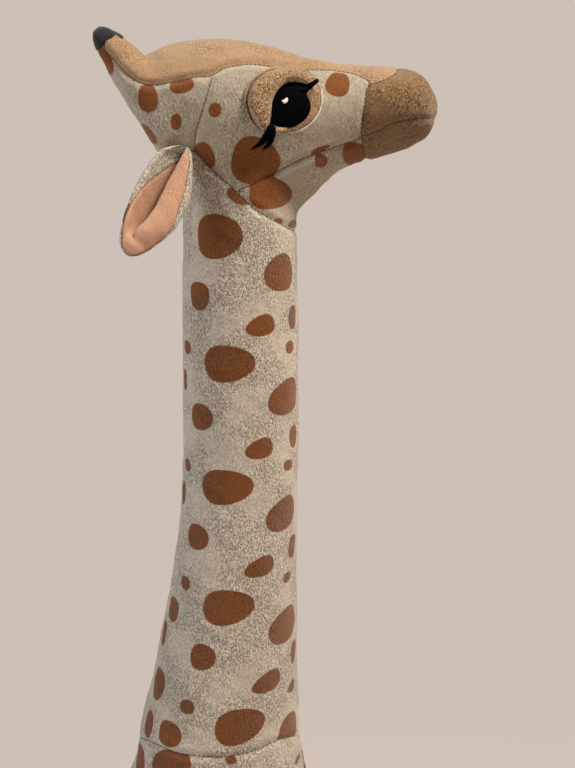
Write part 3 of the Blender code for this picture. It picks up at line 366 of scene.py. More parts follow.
# Lashes: a place along the stroke, and its half width
UPPER_LASH_pixels = (
    (300.5, 90.2, 1.0), (303.6, 89.4, 2.6), (306.8, 88.0, 3.4), (310, 85.8, 3.0), (313.2, 83.4, 2.2),
    (316, 81.3, 2.2), (318.4, 80.4, 1.7),
)
LOWER_LASH_pixels = (
    ((272.6, 106, 0.8), (272.6, 114, 2.0), (272.8, 121, 2.8), (272.5, 128, 3.3), (272.2, 134, 3.4),
     (270.8, 140, 3.0), (267.8, 145, 2.2), (262.4, 149.8, 0.3)),
    ((270.8, 125, 2.4), (268.7, 131.6, 3.6), (264.8, 138.2, 3.4), (259.2, 144.2, 2.2), (250.8, 149.7, 0.3)),
)

RIGHT_AND_LEFT = (("right", -1), ("left", 1))
FORWARD = Vector((1, 0, 0))
SIDE = Vector((0, 1, 0))
UP = Vector((0, 0, 1))

# Each cloth's colour where its nap is crushed and where it stands
CREAM = ("#e6dccb", "#988a74")
TAN = ("#bf9f7b", "#8a6b4b")
# A darker copy of the cream for the face: painted shade
SHADED_FACE_CREAM = ("#cabfad", "#84775f")
MUZZLE = ("#a3835d", "#563e26")
LID = ("#d8b388", "#5c3f25")
SPOT = ("#8a5329", "#6c3d1b")
LINING = ("#d4ac91", "#a87656")
# Painted shade for the ear's pocket, under the flap
LINING_POCKET_SHADE = "#6f4630"
BROWN = ("#7c4a26", "#4f2c13")
FELT_BLACK = "#17181d"
EYE_BLACK = "#040507"
THREAD_WHITE = "#f2f2ee"
# Dark thread, also used for painted shade in the seams' shadows and in the lid's crease
THREAD_AND_SHADE_DARK = "#3d2b1c"
# Painted highlight on the raised rim below the eye's patch
RIM_HIGHLIGHT = "#f6eee0"
STEEL = "#9aa0a6"
STAGE_PALE = "#cdc0b6"
FLOOR_PALE = "#e6d8cd"


class GiraffeSizes(bpy.types.PropertyGroup):
    """Sizes that change how the skins are stuffed and sewn."""

    hide_voxel: bpy.props.FloatProperty(
        name="Hide fineness", description="Spacing of the skin's points before it is subdivided",
        default=HIDE_VOXEL, min=0.002, max=0.02, unit="LENGTH",
    )
    puff_limit: bpy.props.FloatProperty(
        name="Puff", description="How far the stuffing may push a panel out between its seams",
        default=PUFF_LIMIT, min=0.0, max=0.02, unit="LENGTH",
    )
    seam_depth: bpy.props.FloatProperty(
        name="Seam depth", description="How deep a seam is drawn in",
        default=SEAM_DEPTH, min=0.0, max=0.01, unit="LENGTH",
    )
    lid_height: bpy.props.FloatProperty(
        name="Lid height", description="How far the stuffed lid stands out over the eye",
        default=0.0078, min=0.0, max=0.02, unit="LENGTH",
    )


def linear(text):
    """An sRGB hex colour as linear red, green, blue and alpha."""
    parts = [int(text[i : i + 2], 16) / 255 for i in (1, 3, 5)]
    return (*[c / 12.92 if c <= 0.04045 else ((c + 0.055) / 1.055) ** 2.4 for c in parts], 1.0)


def colour_property(name, description, text):
    return bpy.props.FloatVectorProperty(
        name=name, description=description, subtype="COLOR", size=4, min=0, max=1, default=linear(text)
    )


class GiraffeColours(bpy.types.PropertyGroup):
    """Colours of the giraffe's cloths where the light catches their nap."""

    cream: colour_property("Cream velour", "Ground of the printed cloth", CREAM[0])
    spot: colour_property("Spots", "Printed spots", SPOT[0])
    tan: colour_property("Crown velour", "Crown and horns", TAN[0])
    muzzle: colour_property("Muzzle velour", "Muzzle", MUZZLE[0])
    lid: colour_property("Lid velour", "Eyelids", LID[0])
    lining: colour_property("Ear lining", "Inside of the ears", LINING[0])
    brown: colour_property("Hoof velour", "Hooves and tail tuft", BROWN[0])


# ---------------------------------------------------------------- photograph and curves


def through(points, count):
    """A smooth curve through the points, read at count even steps."""
    points = np.array(points, float)
    padded = np.vstack([2 * points[0] - points[1], points, 2 * points[-1] - points[-2]])
    at = np.linspace(0, len(points) - 1, count)
    index = np.minimum(at.astype(int), len(points) - 2)
    t = (at - index)[:, None]
    a, b, c, d = (padded[index + k] for k in range(4))
    return 0.5 * (
        2 * b + (c - a) * t + (2 * a - 5 * b + 4 * c - d) * t**2 + (3 * b - a - 3 * c + d) * t**3
    )


def around(points, count):
    """A smooth closed curve through the points."""
    points = list(points)
    long = through(points[-2:] + points + points[:3], (len(points) + 4) * 40 + 1)
    inner = long[80 : 80 + len(points) * 40 + 1]
    step = np.r_[0, np.cumsum(np.linalg.norm(np.diff(inner, axis=0), axis=1))]
    even = np.linspace(0, step[-1], count, endpoint=False)
    return np.stack([np.interp(even, step, inner[:, k]) for k in range(inner.shape[1])], 1)


def camera_axes():
    """The photograph's right, up and forward ways."""
    ahead = Vector((0, math.cos(CAMERA_PITCH), -math.sin(CAMERA_PITCH)))
    above = Vector((0, math.sin(CAMERA_PITCH), math.cos(CAMERA_PITCH)))
    c, s = math.cos(CAMERA_ROLL), math.sin(CAMERA_ROLL)
    return FORWARD * c - above * s, FORWARD * s + above * c, ahead


def to_photo(points):
    """Places of the points in the photograph, in pixels, seen on the giraffe's right side."""
    right, above, ahead = (np.array(way) for way in camera_axes())
    mirrored = points * (1, 0, 1) + np.abs(points[:, 1:2]) * (0, -1, 0)
    from_camera = mirrored - np.array(CAMERA_PLACE)
    depth = from_camera @ ahead
    x = FRAME_WIDTH / 2 + FOCAL_PIXELS * (from_camera @ right) / depth
    y = FRAME_HEIGHT / 2 - FOCAL_PIXELS * (from_camera @ above) / depth
    return np.stack([x, y], 1)


def sight(pixel):
    """The way that the photograph's camera looks through a pixel."""
    right, above, ahead = camera_axes()
    x, y = pixel[0] - FRAME_WIDTH / 2, pixel[1] - FRAME_HEIGHT / 2
    return (ahead + right * (x / FOCAL_PIXELS) - above * (y / FOCAL_PIXELS)).normalized()


def at_plane(pixel, y):
    """Where the sight line through a pixel meets the plane at that y."""
    way = sight(pixel)
    return CAMERA_PLACE + way * ((y - CAMERA_PLACE.y) / way.y)


def line_distance(places, line):
    """Distance of each place from a line of points, how far along it lies, and its side."""
    line = np.array(line, float)
    best = np.full(len(places), 1e9)
    along = np.zeros(len(places))
    side = np.ones(len(places))
    done = 0.0
    for start, end in zip(line, line[1:]):
        way = end - start
        length = np.linalg.norm(way)
        offset = places - start
        t = np.clip(offset @ way / length**2, 0, 1)
        away = np.linalg.norm(offset - t[:, None] * way, axis=1)
        nearer = away < best
        best[nearer] = away[nearer]
        along[nearer] = done + t[nearer] * length
        cross = way[0] * offset[:, 1] - way[1] * offset[:, 0]
        side[nearer] = np.where(cross[nearer] < 0, 1, -1)
        done += length
    return best, along, side


def spot_depth(across, up, spots):
    """How far inside a printed spot each place lies, negative outside, in the units of the table."""
    best = np.full(len(across), -30.0)
    for x, y, width, height, turn, narrowing in spots:
        dx, dy = across - x, up - y
        near = (np.abs(dx) < width + 12) & (np.abs(dy) < height + 12)
        if not near.any():
            continue
        dx, dy = dx[near], dy[near]
        c, s = math.cos(math.radians(turn)), math.sin(math.radians(turn))
        u = (dx * c + dy * s) / (width / 2)
        v = (-dx * s + dy * c) / (height / 2)
        if width >= height:
            v = v / np.clip(1 - narrowing * 1.6 * u, 0.3, 2)
        else:
            u = u / np.clip(1 + narrowing * 1.6 * v, 0.3, 2)
        reach = (np.abs(u) ** 2.25 + np.abs(v) ** 2.25) ** (1 / 2.25)
        inside = (1 - reach) * min(width, height) / 2
        best[near] = np.maximum(best[near], inside)
    return best


# ---------------------------------------------------------------- shapes


def on_head(share):
    return NOD_PIVOT + FORWARD * share[0] * HEAD_LENGTH + UP * share[1] * HEAD_HEIGHT


def on_body(share):
    ahead = BODY_CENTRE_X + share[0] * BODY_LENGTH
    return Vector((ahead, 0, BELLY_HEIGHT + share[1] * BODY_HEIGHT))


def on_neck(along, forward):
    return NECK_BASE + NECK_UP * along + NECK_FORWARD * forward


def edges_of(verts):
    return {edge for vert in verts for edge in vert.link_edges}


def bridged(bm, loops, capped=True):
    """Joins loops of edges into one skin, and closes its two ends."""
    for low, high in zip(loops, loops[1:]):
        bmesh.ops.bridge_loops(bm, edges=list(low | high))
    for loop in (loops[0], loops[-1]) if capped else ():
        bmesh.ops.contextual_create(bm, geom=list(loop))


def sweep(bm, rings, segments, egg=0.0):
    """A closed skin bridged through rings of (centre, half axis, other half axis), each broader
    towards its first half axis by the share egg."""
    loops = []
    for centre, one, other in rings:
        made = bmesh.ops.create_circle(bm, segments=segments, radius=1)
        for vert in made["verts"]:
            vert.co.y *= 1 + egg * vert.co.x
        square = one.cross(other).normalized()
        place = Matrix((one, other, square)).transposed().to_4x4()
        bmesh.ops.transform(bm, matrix=Matrix.Translation(centre) @ place, verts=made["verts"])
        loops.append(edges_of(made["verts"]))
    bridged(bm, loops)


def sagittal_rings(table, count, inset):
    """Rings square to the plane of symmetry, from (front x, z, back x, z, half breadth)."""
    rings = []
    for fx, fz, bx, bz, breadth in through(table, count):
        front, back = Vector((fx, 0, fz)), Vector((bx, 0, bz))
        half = (front - back) / 2
        reach = max(half.length - inset, 0.0005)
        rings.append(((front + back) / 2, half.normalized() * reach, SIDE * max(breadth - inset, 0.0005)))
    return rings


def trunk_table():
    table = []
    for along, front, back, breadth in NECK_SECTION_shares:
        a = on_neck(along * NECK_LENGTH, front * NECK_RADIUS)
        b = on_neck(along * NECK_LENGTH, -back * NECK_RADIUS)
        table.append((a.x, a.z, b.x, b.z, breadth * NECK_RADIUS))
    for front, back, breadth in BODY_SECTION_shares:
        a, b = on_body(front), on_body(back)
        table.append((a.x, a.z, b.x, b.z, breadth * BODY_BREADTH / 2))
    return table


def head_table():
    table = []
    for top, bottom, breadth in HEAD_SECTION_shares:
        a, b = on_head(top), on_head(bottom)
        table.append((a.x, a.z, b.x, b.z, breadth * HEAD_BREADTH / 2))
    return table


def leg_rings(foot_x, table, side, inset):
    rings = []
    for height, forward, inward, length, breadth in through(table, 40):
        y = side * (FOOT_Y + inward * SHANK_RADIUS)
        centre = Vector((foot_x + forward * SHANK_RADIUS, y, height * LEG_TOP))
        one = FORWARD * max(length * SHANK_RADIUS - inset, 0.0005)
        rings.append((centre, one, SIDE * max(breadth * SHANK_RADIUS - inset, 0.0005)))
    return rings


def horn_rings(side, inset):
    base = on_head(HORN_BASE_shares) + SIDE * side * HORN_SPREAD
    way = Vector((-math.sin(HORN_LEAN), 0, math.cos(HORN_LEAN)))
    front = Vector((math.cos(HORN_LEAN), 0, math.sin(HORN_LEAN)))
    rings = []
    for along, radius in through(HORN_shares, 16):
        reach = max(HORN_RADIUS * radius - inset, 0.0005)
        rings.append((base + way * HORN_LENGTH * along, front * reach, SIDE * reach))
    return rings


LEGS = (
    ("front", FRONT_FOOT_X, FRONT_LEG_shares),
    ("rear", REAR_FOOT_X, REAR_LEG_shares),
)


def linked(bm, name):
    """A smooth mesh object made from a bmesh."""
    mesh = bpy.data.meshes.new(name)
    bm.to_mesh(mesh)
    bm.free()
    mesh.shade_smooth()
    made = bpy.data.objects.new(name, mesh)
    bpy.context.scene.collection.objects.link(made)
    return made


def mesh_object(bm, name):
    """A mesh object made from a bmesh whose faces are turned outwards."""
    bmesh.ops.recalc_face_normals(bm, faces=bm.faces)
    return linked(bm, name)


def settle(obj):
    """Makes an object's modifiers part of its mesh."""
    graph = bpy.context.evaluated_depsgraph_get()
    mesh = bpy.data.meshes.new_from_object(obj.evaluated_get(graph))
    obj.modifiers.clear()
    old, obj.data = obj.data, mesh
    mesh.name = old.name
    bpy.data.meshes.remove(old)
    return obj


def subdivided(obj):
    step = obj.modifiers.new("Subdivision", "SUBSURF")
    step.levels = step.render_levels = 1
    return settle(obj)


def remeshed(obj, voxel, passes):
    """One even skin over all of an object's parts."""
    remesh = obj.modifiers.new("Remesh", "REMESH")
    remesh.mode = "VOXEL"
    remesh.voxel_size = voxel
    smooth = obj.modifiers.new("Smooth", "SMOOTH")
    smooth.iterations = passes
    return settle(obj)


def vectors(items, name):
    found = np.empty(len(items) * 3, np.float32)
    items.foreach_get(name, found)
    return found.reshape(-1, 3).astype(float)


def points_of(mesh):
    return vectors(mesh.vertices, "co")


def normals_of(mesh):
    return vectors(mesh.vertex_normals, "vector")


def set_points(mesh, points):
    mesh.vertices.foreach_set("co", points.astype(np.float32).ravel())
    mesh.update()


def set_values(mesh, name, values):
    attribute = mesh.attributes.get(name) or mesh.attributes.new(name, "FLOAT", "POINT")
    attribute.data.foreach_set("value", values.astype(np.float32))


def puffed(obj, sewn, limit, frames=CLOTH_FRAMES):
    """Blows the stuffed form out like filled cloth, held where it is sewn, by limit at most."""
    before = points_of(obj.data)
    group = obj.vertex_groups.new(name="sewn")
    for level in (0.25, 0.5, 0.75, 1.0):
        held = np.flatnonzero((sewn > level - 0.125) & (sewn <= level + 0.125))
        group.add(held.tolist(), level, "REPLACE")
    cloth = obj.modifiers.new("Cloth", "CLOTH")
    cloth.settings.quality = 3
    cloth.settings.mass = 0.25
    cloth.settings.tension_stiffness = cloth.settings.compression_stiffness = 12
    cloth.settings.bending_stiffness = 0.6
    cloth.settings.use_pressure = True
    cloth.settings.uniform_pressure_force = CLOTH_PRESSURE
    cloth.settings.vertex_group_mass = "sewn"
    cloth.settings.effector_weights.gravity = 0
    cloth.collision_settings.use_collision = False
    cloth.point_cache.frame_end = frames
    for number in range(1, frames + 1):
        bpy.context.scene.frame_set(number)
    settle(obj)
    bpy.context.scene.frame_set(1)
    obj.vertex_groups.clear()
    moved = points_of(obj.data) - before
    far = np.linalg.norm(moved, axis=1, keepdims=True)
    set_points(obj.data, before + moved * np.minimum(1, limit / np.maximum(far, 1e-9)))
    return obj


# ---------------------------------------------------------------- the hide


def hide_form(inset):
    """Body, neck, head, horns and legs as one closed form."""
    bm = bmesh.new()
    sweep(bm, sagittal_rings(trunk_table(), 74, inset), 48)
    sweep(bm, sagittal_rings(head_table(), 56, inset), 48, HEAD_EGG)
    for _, side in RIGHT_AND_LEFT:
        sweep(bm, horn_rings(side, inset), 24)
        for _, foot_x, table in LEGS:
            sweep(bm, leg_rings(foot_x, table, side, inset), 32)
    return bm


def tree_of(fill):
    """The surface of a form, for measuring how far away it is."""
    bm = bmesh.new()
    fill(bm)
    found = BVHTree.FromBMesh(bm)
    bm.free()
    return found


def how_far(tree, points, reach):
    found = np.full(len(points), reach)
    for index, point in enumerate(points):
        hit = tree.find_nearest(point, reach)
        if hit[3] is not None:
            found[index] = hit[3]
    return found


def hide_marks(points):
    """How far each point of the hide lies from the seams, in millimetres, negative on one side."""
    photo = to_photo(points)
    marks = {"photo": photo}
    seams = []

    def sew(pixels, where, depth=1.0):
        away, along, side = line_distance(photo, through(pixels, len(pixels) * 5))
        signed = away * side / PIXELS_PER_MM
        seams.append((np.where(where, signed, 1e3), along / PIXELS_PER_MM, depth * np.ones(len(points))))
        return signed

    high = points[:, 2] > HEAD_FLOOR
    marks["head"] = np.where(high, sew(HEAD_SEAM_pixels, high), -100)
    inside = marks["head"] > -4
    on_top = inside & (points[:, 2] > CROWN_FLOOR) & (photo[:, 1] < 100)
    crown = sew(CROWN_SEAM_pixels, on_top, np.interp(photo[:, 0], [362, 385], [1.25, 0.4]))
    marks["crown"] = np.where(on_top, crown, -30)
    muzzle = sew(MUZZLE_SEAM_pixels, inside & (crown < 0.5))
    marks["muzzle"] = np.where(photo[:, 0] > 300, muzzle, -30)
    sew(MOUTH_SEAM_pixels, (muzzle > -1) & (photo[:, 0] > 350), 0.55)
    sew(CHEEK_SEAM_pixels, inside & (crown < 0.5))
    sew(JAW_SEAM_pixels, inside & (photo[:, 0] < 366))
    low = points[:, 2] < BASE_SEAM_TOP
    marks["base"] = np.where(low, sew(BASE_SEAM_pixels, low), 100)
    # The neck's two halves and the body's two sides meet in the middle, the belly has a panel
    belly = [(on_body(share).x * 1000, on_body(share).z * 1000) for share in BELLY_SEAM_shares]
    above = np.interp(points[:, 0] * 1000, *np.array(belly).T) < points[:, 2] * 1000
    middle = (points[:, 2] < NECK_SEAM_TOP) & (above | (points[:, 2] > NECK_FLOOR))
    full = np.ones(len(points))
    seams.append((np.where(middle, points[:, 1] * 1000, 1e3), points[:, 2] * 1000, full))
    away, along, side = line_distance(points[:, [0, 2]] * 1000, belly)
    seams.append((np.where(points[:, 2] < NECK_FLOOR, away * side, 1e3), along, full))
    marks["seams"] = seams
    return marks


def neck_axis():
    """Along the neck: the middle of its section, its half length and its half breadth."""
    rows = []
    for along, front, back, breadth in NECK_SECTION_shares[::-1]:
        rows.append((along * NECK_LENGTH, (front - back) / 2 * NECK_RADIUS,
                     (front + back) / 2 * NECK_RADIUS, breadth * NECK_RADIUS))
    return np.array(rows)


def neck_print():
    """The neck's spots unrolled: across from the middle of the side, along the neck, in mm."""
    axis = neck_axis()
    found = []
    for x, y, width, height, turn, narrowing in NECK_SPOT_pixels:
        ends = []
        depth = -NECK_RADIUS
        for edge in (x - width / 2, x + width / 2):
            for _ in range(5):
                place = at_plane((edge, y), depth)
                from_base = place - NECK_BASE
                along = from_base.dot(NECK_UP)
                middle, half, breadth = (np.interp(along, axis[:, 0], axis[:, k]) for k in (1, 2, 3))
                share = max(-0.96, min(0.96, (from_base.dot(NECK_FORWARD) - middle) / half))
                depth = -breadth * math.sqrt(1 - share * share)
            ends.append((math.asin(share) * (half + breadth) / 2 * 1000, along * 1000))
        tall = height / PIXELS_PER_MM * 1.035
        inner = min(ends, key=lambda end: abs(end[0]))
        # A spot that is cut by the neck's outline goes on round it
        across = max(abs(ends[1][0] - ends[0][0]), tall * 0.6)
        way = 1 if sum(end[0] for end in ends) > 2 * inner[0] else -1
        found.append((inner[0] + way * across / 2, (ends[0][1] + ends[1][1]) / 2, across, tall,
                      -turn, narrowing))
    return found


def trunk_place(points):
    """How far each point lies along the trunk's skin, and how far round it from the middle of its
    side, in millimetres."""
    rings = np.array([tuple(ring) for ring in through(trunk_table(), 300)])
    front, back, breadth = rings[:, 0:2], rings[:, 2:4], rings[:, 4]
    middle, half = (front + back) / 2, np.linalg.norm(front - back, axis=1) / 2
    upward = (back - front) / (2 * half[:, None])
    radius = (half + breadth) / 2
    stride = np.linalg.norm(np.gradient(middle, axis=0), axis=1)
    skin = np.hypot(stride, np.gradient(radius))
    ahead = np.stack((upward[:, 1], -upward[:, 0]), axis=1)
    ahead *= np.sign(np.sum(ahead * np.gradient(middle, axis=0), axis=1))[:, None]
    best = np.full(len(points), 1e9)
    along, around_it = np.zeros(len(points)), np.zeros(len(points))
    for k, run in enumerate(np.cumsum(skin)):
        offset = points[:, (0, 2)] - middle[k]
        past, high = offset @ ahead[k], offset @ upward[k] / half[k]
        miss = np.abs(past) + np.where(np.abs(high) > 1.4, 1.0, 0.0)
        near = miss < best
        best[near] = miss[near]
        along[near] = run + past[near] * skin[k] / max(stride[k], 1e-6)
        around_it[near] = np.arctan2(high[near], np.abs(points[near, 1]) / breadth[k]) * radius[k]
    return along * 1000, around_it * 1000


def tiled(across, up):
    """Depth inside the spots of the print laid out in repeats."""
    wide, high = PRINT_TILE_WIDTH_MM, PRINT_REPEAT * 1000
    tile = [
        (x + dx * wide, z + dz * high, *shape)
        for x, z, *shape in PRINT_TILE_MM for dx in (-1, 0, 1) for dz in (-1, 0, 1)
    ]
    return spot_depth((across + wide / 2) % wide - wide / 2, (up + high / 2) % high - high / 2, tile)


def print_depth(points, marks, leg, leg_edge):
    """Depth of each point inside the printed spots, in millimetres, for the two cloths that meet
    nearest to it, and how far it lies on the first one's side of the seam between them."""
    photo = marks["photo"]
    head = spot_depth(photo[:, 0], photo[:, 1], HEAD_SPOT_pixels) / PIXELS_PER_MM
    # Neck: unrolled, and on the left side half a repeat higher
    axis = neck_axis()
    from_base = points - np.array(NECK_BASE)
    along = from_base @ np.array(NECK_UP)
    forward = from_base @ np.array(NECK_FORWARD)
    middle, half, breadth = (np.interp(along, axis[:, 0], axis[:, k]) for k in (1, 2, 3))
    angle = np.arctan2((forward - middle) / half, np.abs(points[:, 1]) / breadth)
    across = angle * (half + breadth) / 2 * 1000
    left = points[:, 1] > 0
    shifted = along * 1000 + np.where(left, PRINT_REPEAT * 500, 0)
    top = 4 * PRINT_REPEAT * 1000
    shifted = np.where(left & (shifted > top - 8), shifted - top, shifted)
    neck = spot_depth(across, shifted, neck_print())
    # Body: the same print laid along it and round it, ending where the photograph's own spots start
    along_trunk, round_trunk = trunk_place(points)
    body = tiled(along_trunk + np.where(left, 47, 0), round_trunk + np.where(left, 31, 0))
    shown = np.minimum(points[:, 2] - 0.745, points[:, 0] - 0.02) * 1000
    near_neck = spot_depth(photo[:, 0], photo[:, 1], BODY_SPOT_pixels) / PIXELS_PER_MM
    body = np.maximum(body - np.maximum(shown, 0), np.where(shown > 0, near_neck, -1e3))
    # Legs: the print wrapped round them
    on_leg = body.copy()
    for index, (_, foot_x, _) in enumerate(LEGS):
        for side_index, (_, side) in enumerate(RIGHT_AND_LEFT):
            near = leg == 1 + index * 2 + side_index
            turn = np.arctan2(points[near, 1] - side * FOOT_Y, points[near, 0] - foot_x)
            turned = turn / math.pi * PRINT_TILE_WIDTH_MM + 31 * side + 53 * index
            on_leg[near] = tiled(turned, points[near, 2] * 1000 + 17 * side + 40 * index)
    high, low = points[:, 2] > HEAD_PRINT_FLOOR, points[:, 2] < LEG_PRINT_TOP
    first = np.where(high & (marks["head"] > -8), head, np.where(low, on_leg, neck))
    second = np.where(high, neck, np.where(low | (marks["base"] < 8), body, neck))
    edge = np.where(high, marks["head"], np.where(low, leg_edge, marks["base"]))
    return first, second, edge


HIDE_REGIONS = (
    # name, slot, replaced nodes
    ("body_skin", "cream_plush", ("body_stuffing", "belly_panel", "body_panel_right", "body_panel_left")),
    ("front_leg_skin_right", "cream_plush", ("front_leg_cover_right", "front_leg_stuffing_right")),
    ("front_leg_skin_left", "cream_plush", ("front_leg_cover_left", "front_leg_stuffing_left")),
    ("rear_leg_skin_right", "cream_plush", ("rear_leg_cover_right", "rear_leg_stuffing_right")),
    ("rear_leg_skin_left", "cream_plush", ("rear_leg_cover_left", "rear_leg_stuffing_left")),
    ("lower_neck_skin", "cream_plush", ("lower_neck_cover", "lower_neck_stuffing")),
    ("upper_neck_skin", "cream_plush", ("upper_neck_cover",)),
    ("head_skin", "cream_plush", ("head_stuffing", "jaw_panel", "face_panel_right", "face_panel_left",
                                  "nape_panel_right", "nape_panel_left")),
    ("crown_skin", "tan_plush", ("crown_panel", "horn_right", "horn_left")),
    ("muzzle_skin", "muzzle_plush", ("muzzle_panel", "chin_panel")),
    ("neck_top_skin", "cream_plush", ("upper_neck_stuffing",)),
)


def leg_of(points, reach=0.03):
    """Which leg each point is near, 0 for none, and how far it lies inside the leg's seam in mm."""
    leg = np.zeros(len(points), int)
    edge = np.full(len(points), -1e3)
    trunk = tree_of(lambda bm: sweep(bm, sagittal_rings(trunk_table(), 74, 0), 48))
    low = np.flatnonzero(points[:, 2] < LEG_TOP + 0.02)
    to_trunk = np.full(len(points), reach)
    to_trunk[low] = how_far(trunk, points[low], reach)
    for index, (_, foot_x, table) in enumerate(LEGS):
        for side_index, (_, side) in enumerate(RIGHT_AND_LEFT):
            tree = tree_of(lambda bm: sweep(bm, leg_rings(foot_x, table, side, 0), 32))
            near = low[(points[low, 1] * side > -0.002) & (np.abs(points[low, 0] - foot_x) < 0.12)]
            inside = (to_trunk[near] - how_far(tree, points[near], reach)) * 1000
            leg[near[inside > -8]] = 1 + index * 2 + side_index
            edge[near] = np.where(np.abs(inside) < np.abs(edge[near]), inside, edge[near])
    return leg, edge


def make_hide(settings):
    """The whole hide: one stuffed form, puffed between its seams and drawn in along them."""
    hide = remeshed(mesh_object(hide_form(HIDE_START_INSET), "hide"), settings.hide_voxel, 5)
    points = points_of(hide.data)
    marks = hide_marks(points)
    _, leg_edge = leg_of(points)
    nearest = np.abs([seam[0] for seam in marks["seams"]] + [leg_edge]).min(0)
    sewn = np.clip(1.15 - nearest / 7, 0, 1)
    sewn = np.where(points[:, 2] < SOLE_TOP, 1.0, sewn)
    puffed(hide, sewn, settings.puff_limit)
    set_points(hide.data, points_of(hide.data) + normals_of(hide.data) * HIDE_START_INSET)
    subdivided(hide)
    return hide


def steep(signed):
    """Signed distances that soon grow very large, so that none passes through nought by chance
    where two seams' regions meet."""
    away = np.abs(signed)
    return np.sign(signed) * (away + 14 * np.maximum(away - 2.6, 0))


def bell(values, middle, width):
    """A smooth bump, one high at middle and nearly nought two widths away."""
    return np.exp(-(((values - middle) / width) ** 2))


def sorted_round(angles, values):
    order = np.argsort(angles)
    return angles[order], values[order]


def noise_at(points, size, seed):
    """A smooth pseudo-random swell over space, about -1 to 1, made of a few crossed waves."""
    found = np.zeros(len(points))
    turn = seed * 1.7
    for k in range(5):
        way = np.array([math.cos(turn + k * 2.4), math.sin(turn * 1.3 + k * 1.9),
                        math.cos(turn * 0.7 + k * 3.1)])
        found += np.sin(points @ way * (math.tau / size) * (0.7 + 0.17 * k) + seed * 3 + k)
    return found / 2.5


def finish_hide(hide, settings):
    """Draws the seams in, prints the spots, and marks every point for the cloths."""
    mesh = hide.data
    points, normals = points_of(mesh), normals_of(mesh)
    marks = hide_marks(points)
    leg, leg_edge = leg_of(points)
    seams = marks["seams"] + [(leg_edge, points[:, 2] * 1000, np.ones(len(points)))]
    signed, alongs, depths = (np.stack([seam[k] for seam in seams]) for k in range(3))
    which = np.abs(signed).argmin(0)[None]
    signed, along, depth = (np.take_along_axis(values, which, 0)[0] for values in (signed, alongs, depths))
    nearest = np.abs(signed)
    # The seam is pulled in, and the cloth beside it stands up in small puckers
    groove = bell(nearest, 0, SEAM_REACH_MM)
    shoulder = bell(nearest, SHOULDER_OFF_MM, 2.4)
    pucker = np.sin(along * math.tau / PUCKER_STEP_MM) * bell(nearest, PUCKER_OFF_MM, 2.2)
    rise = (-groove * settings.seam_depth + shoulder * SHOULDER_RISE + pucker * PUCKER_RISE) * depth
    rise += noise_at(points, 0.055, 2) * 0.00045 + noise_at(points, 0.021, 5) * 0.00018
    # Round the eye's patch the cloth is pulled in, and below it stands up as a thin rim, which its material paints
    # with a pale highlight
    photo = marks["photo"]
    from_eye = photo - np.array(EYE_CENTRE_pixels)
    outline = around(LID_OUTLINE_pixels, 180) - np.array(EYE_CENTRE_pixels)
    angles, far = sorted_round(np.arctan2(outline[:, 1], outline[:, 0]), np.linalg.norm(outline, axis=1))
    reach = np.interp(np.arctan2(from_eye[:, 1], from_eye[:, 0]), angles, far, period=math.tau)
    ring = (np.linalg.norm(from_eye, axis=1) - reach) / PIXELS_PER_MM
    below = np.clip((from_eye[:, 0] * 0.6 + from_eye[:, 1] * 0.8) / 12, 0, 1)
    rise += below * bell(ring, 1.3, 0.8) * 0.0011 - 0.0008 * bell(ring, 0, 1.3)
    set_points(mesh, points + normals * rise[:, None])
    first, second, edge = print_depth(points, marks, leg, leg_edge)
    for name, values in (
        ("spot", first), ("other_spot", second), ("edge", steep(edge)), ("crown", marks["crown"]),
        ("muzzle", marks["muzzle"]), ("seam", steep(signed)), ("along", along), ("ring", steep(ring)),
        ("rim", below),
    ):
        set_values(mesh, name, values)
    turned = normals_of(mesh)
    store = mesh.attributes.new("whole_normal", "FLOAT_VECTOR", "POINT")
    store.data.foreach_set("vector", turned.astype(np.float32).ravel())
    # Each face goes to the skin that it is part of
    loops = np.empty(len(mesh.loops), int)
    mesh.loops.foreach_get("vertex_index", loops)
    starts = np.empty(len(mesh.polygons), int)
    mesh.polygons.foreach_get("loop_start", starts)
    corners = np.stack([loops[starts + k] for k in range(4)], 1)

    def mean(values):
        return values[corners].mean(1)

    centre = points[corners].mean(1)
    head, base = mean(marks["head"]) > 0, mean(marks["base"]) > 0
    along_neck = (centre - np.array(NECK_BASE)) @ np.array(NECK_UP)
    number = {name: index for index, (name, _, _) in enumerate(HIDE_REGIONS)}
    in_leg = leg[corners].max(1)
    region = np.where((in_leg > 0) & (mean(leg_edge) > 0), in_leg, number["body_skin"])
    neck = base & (centre[:, 2] > NECK_FLOOR)
    for start, name in ((-1, "lower_neck_skin"), (TURN_ALONG, "upper_neck_skin"),
                        (NOD_ALONG, "neck_top_skin")):
        region = np.where(neck & (along_neck >= start), number[name], region)
    region = np.where(head & (centre[:, 2] > HEAD_FLOOR), number["head_skin"], region)
    for mark in ("crown", "muzzle"):
        found = (region == number["head_skin"]) & (mean(marks[mark]) > 0)
        region = np.where(found, number[mark + "_skin"], region)
    return region


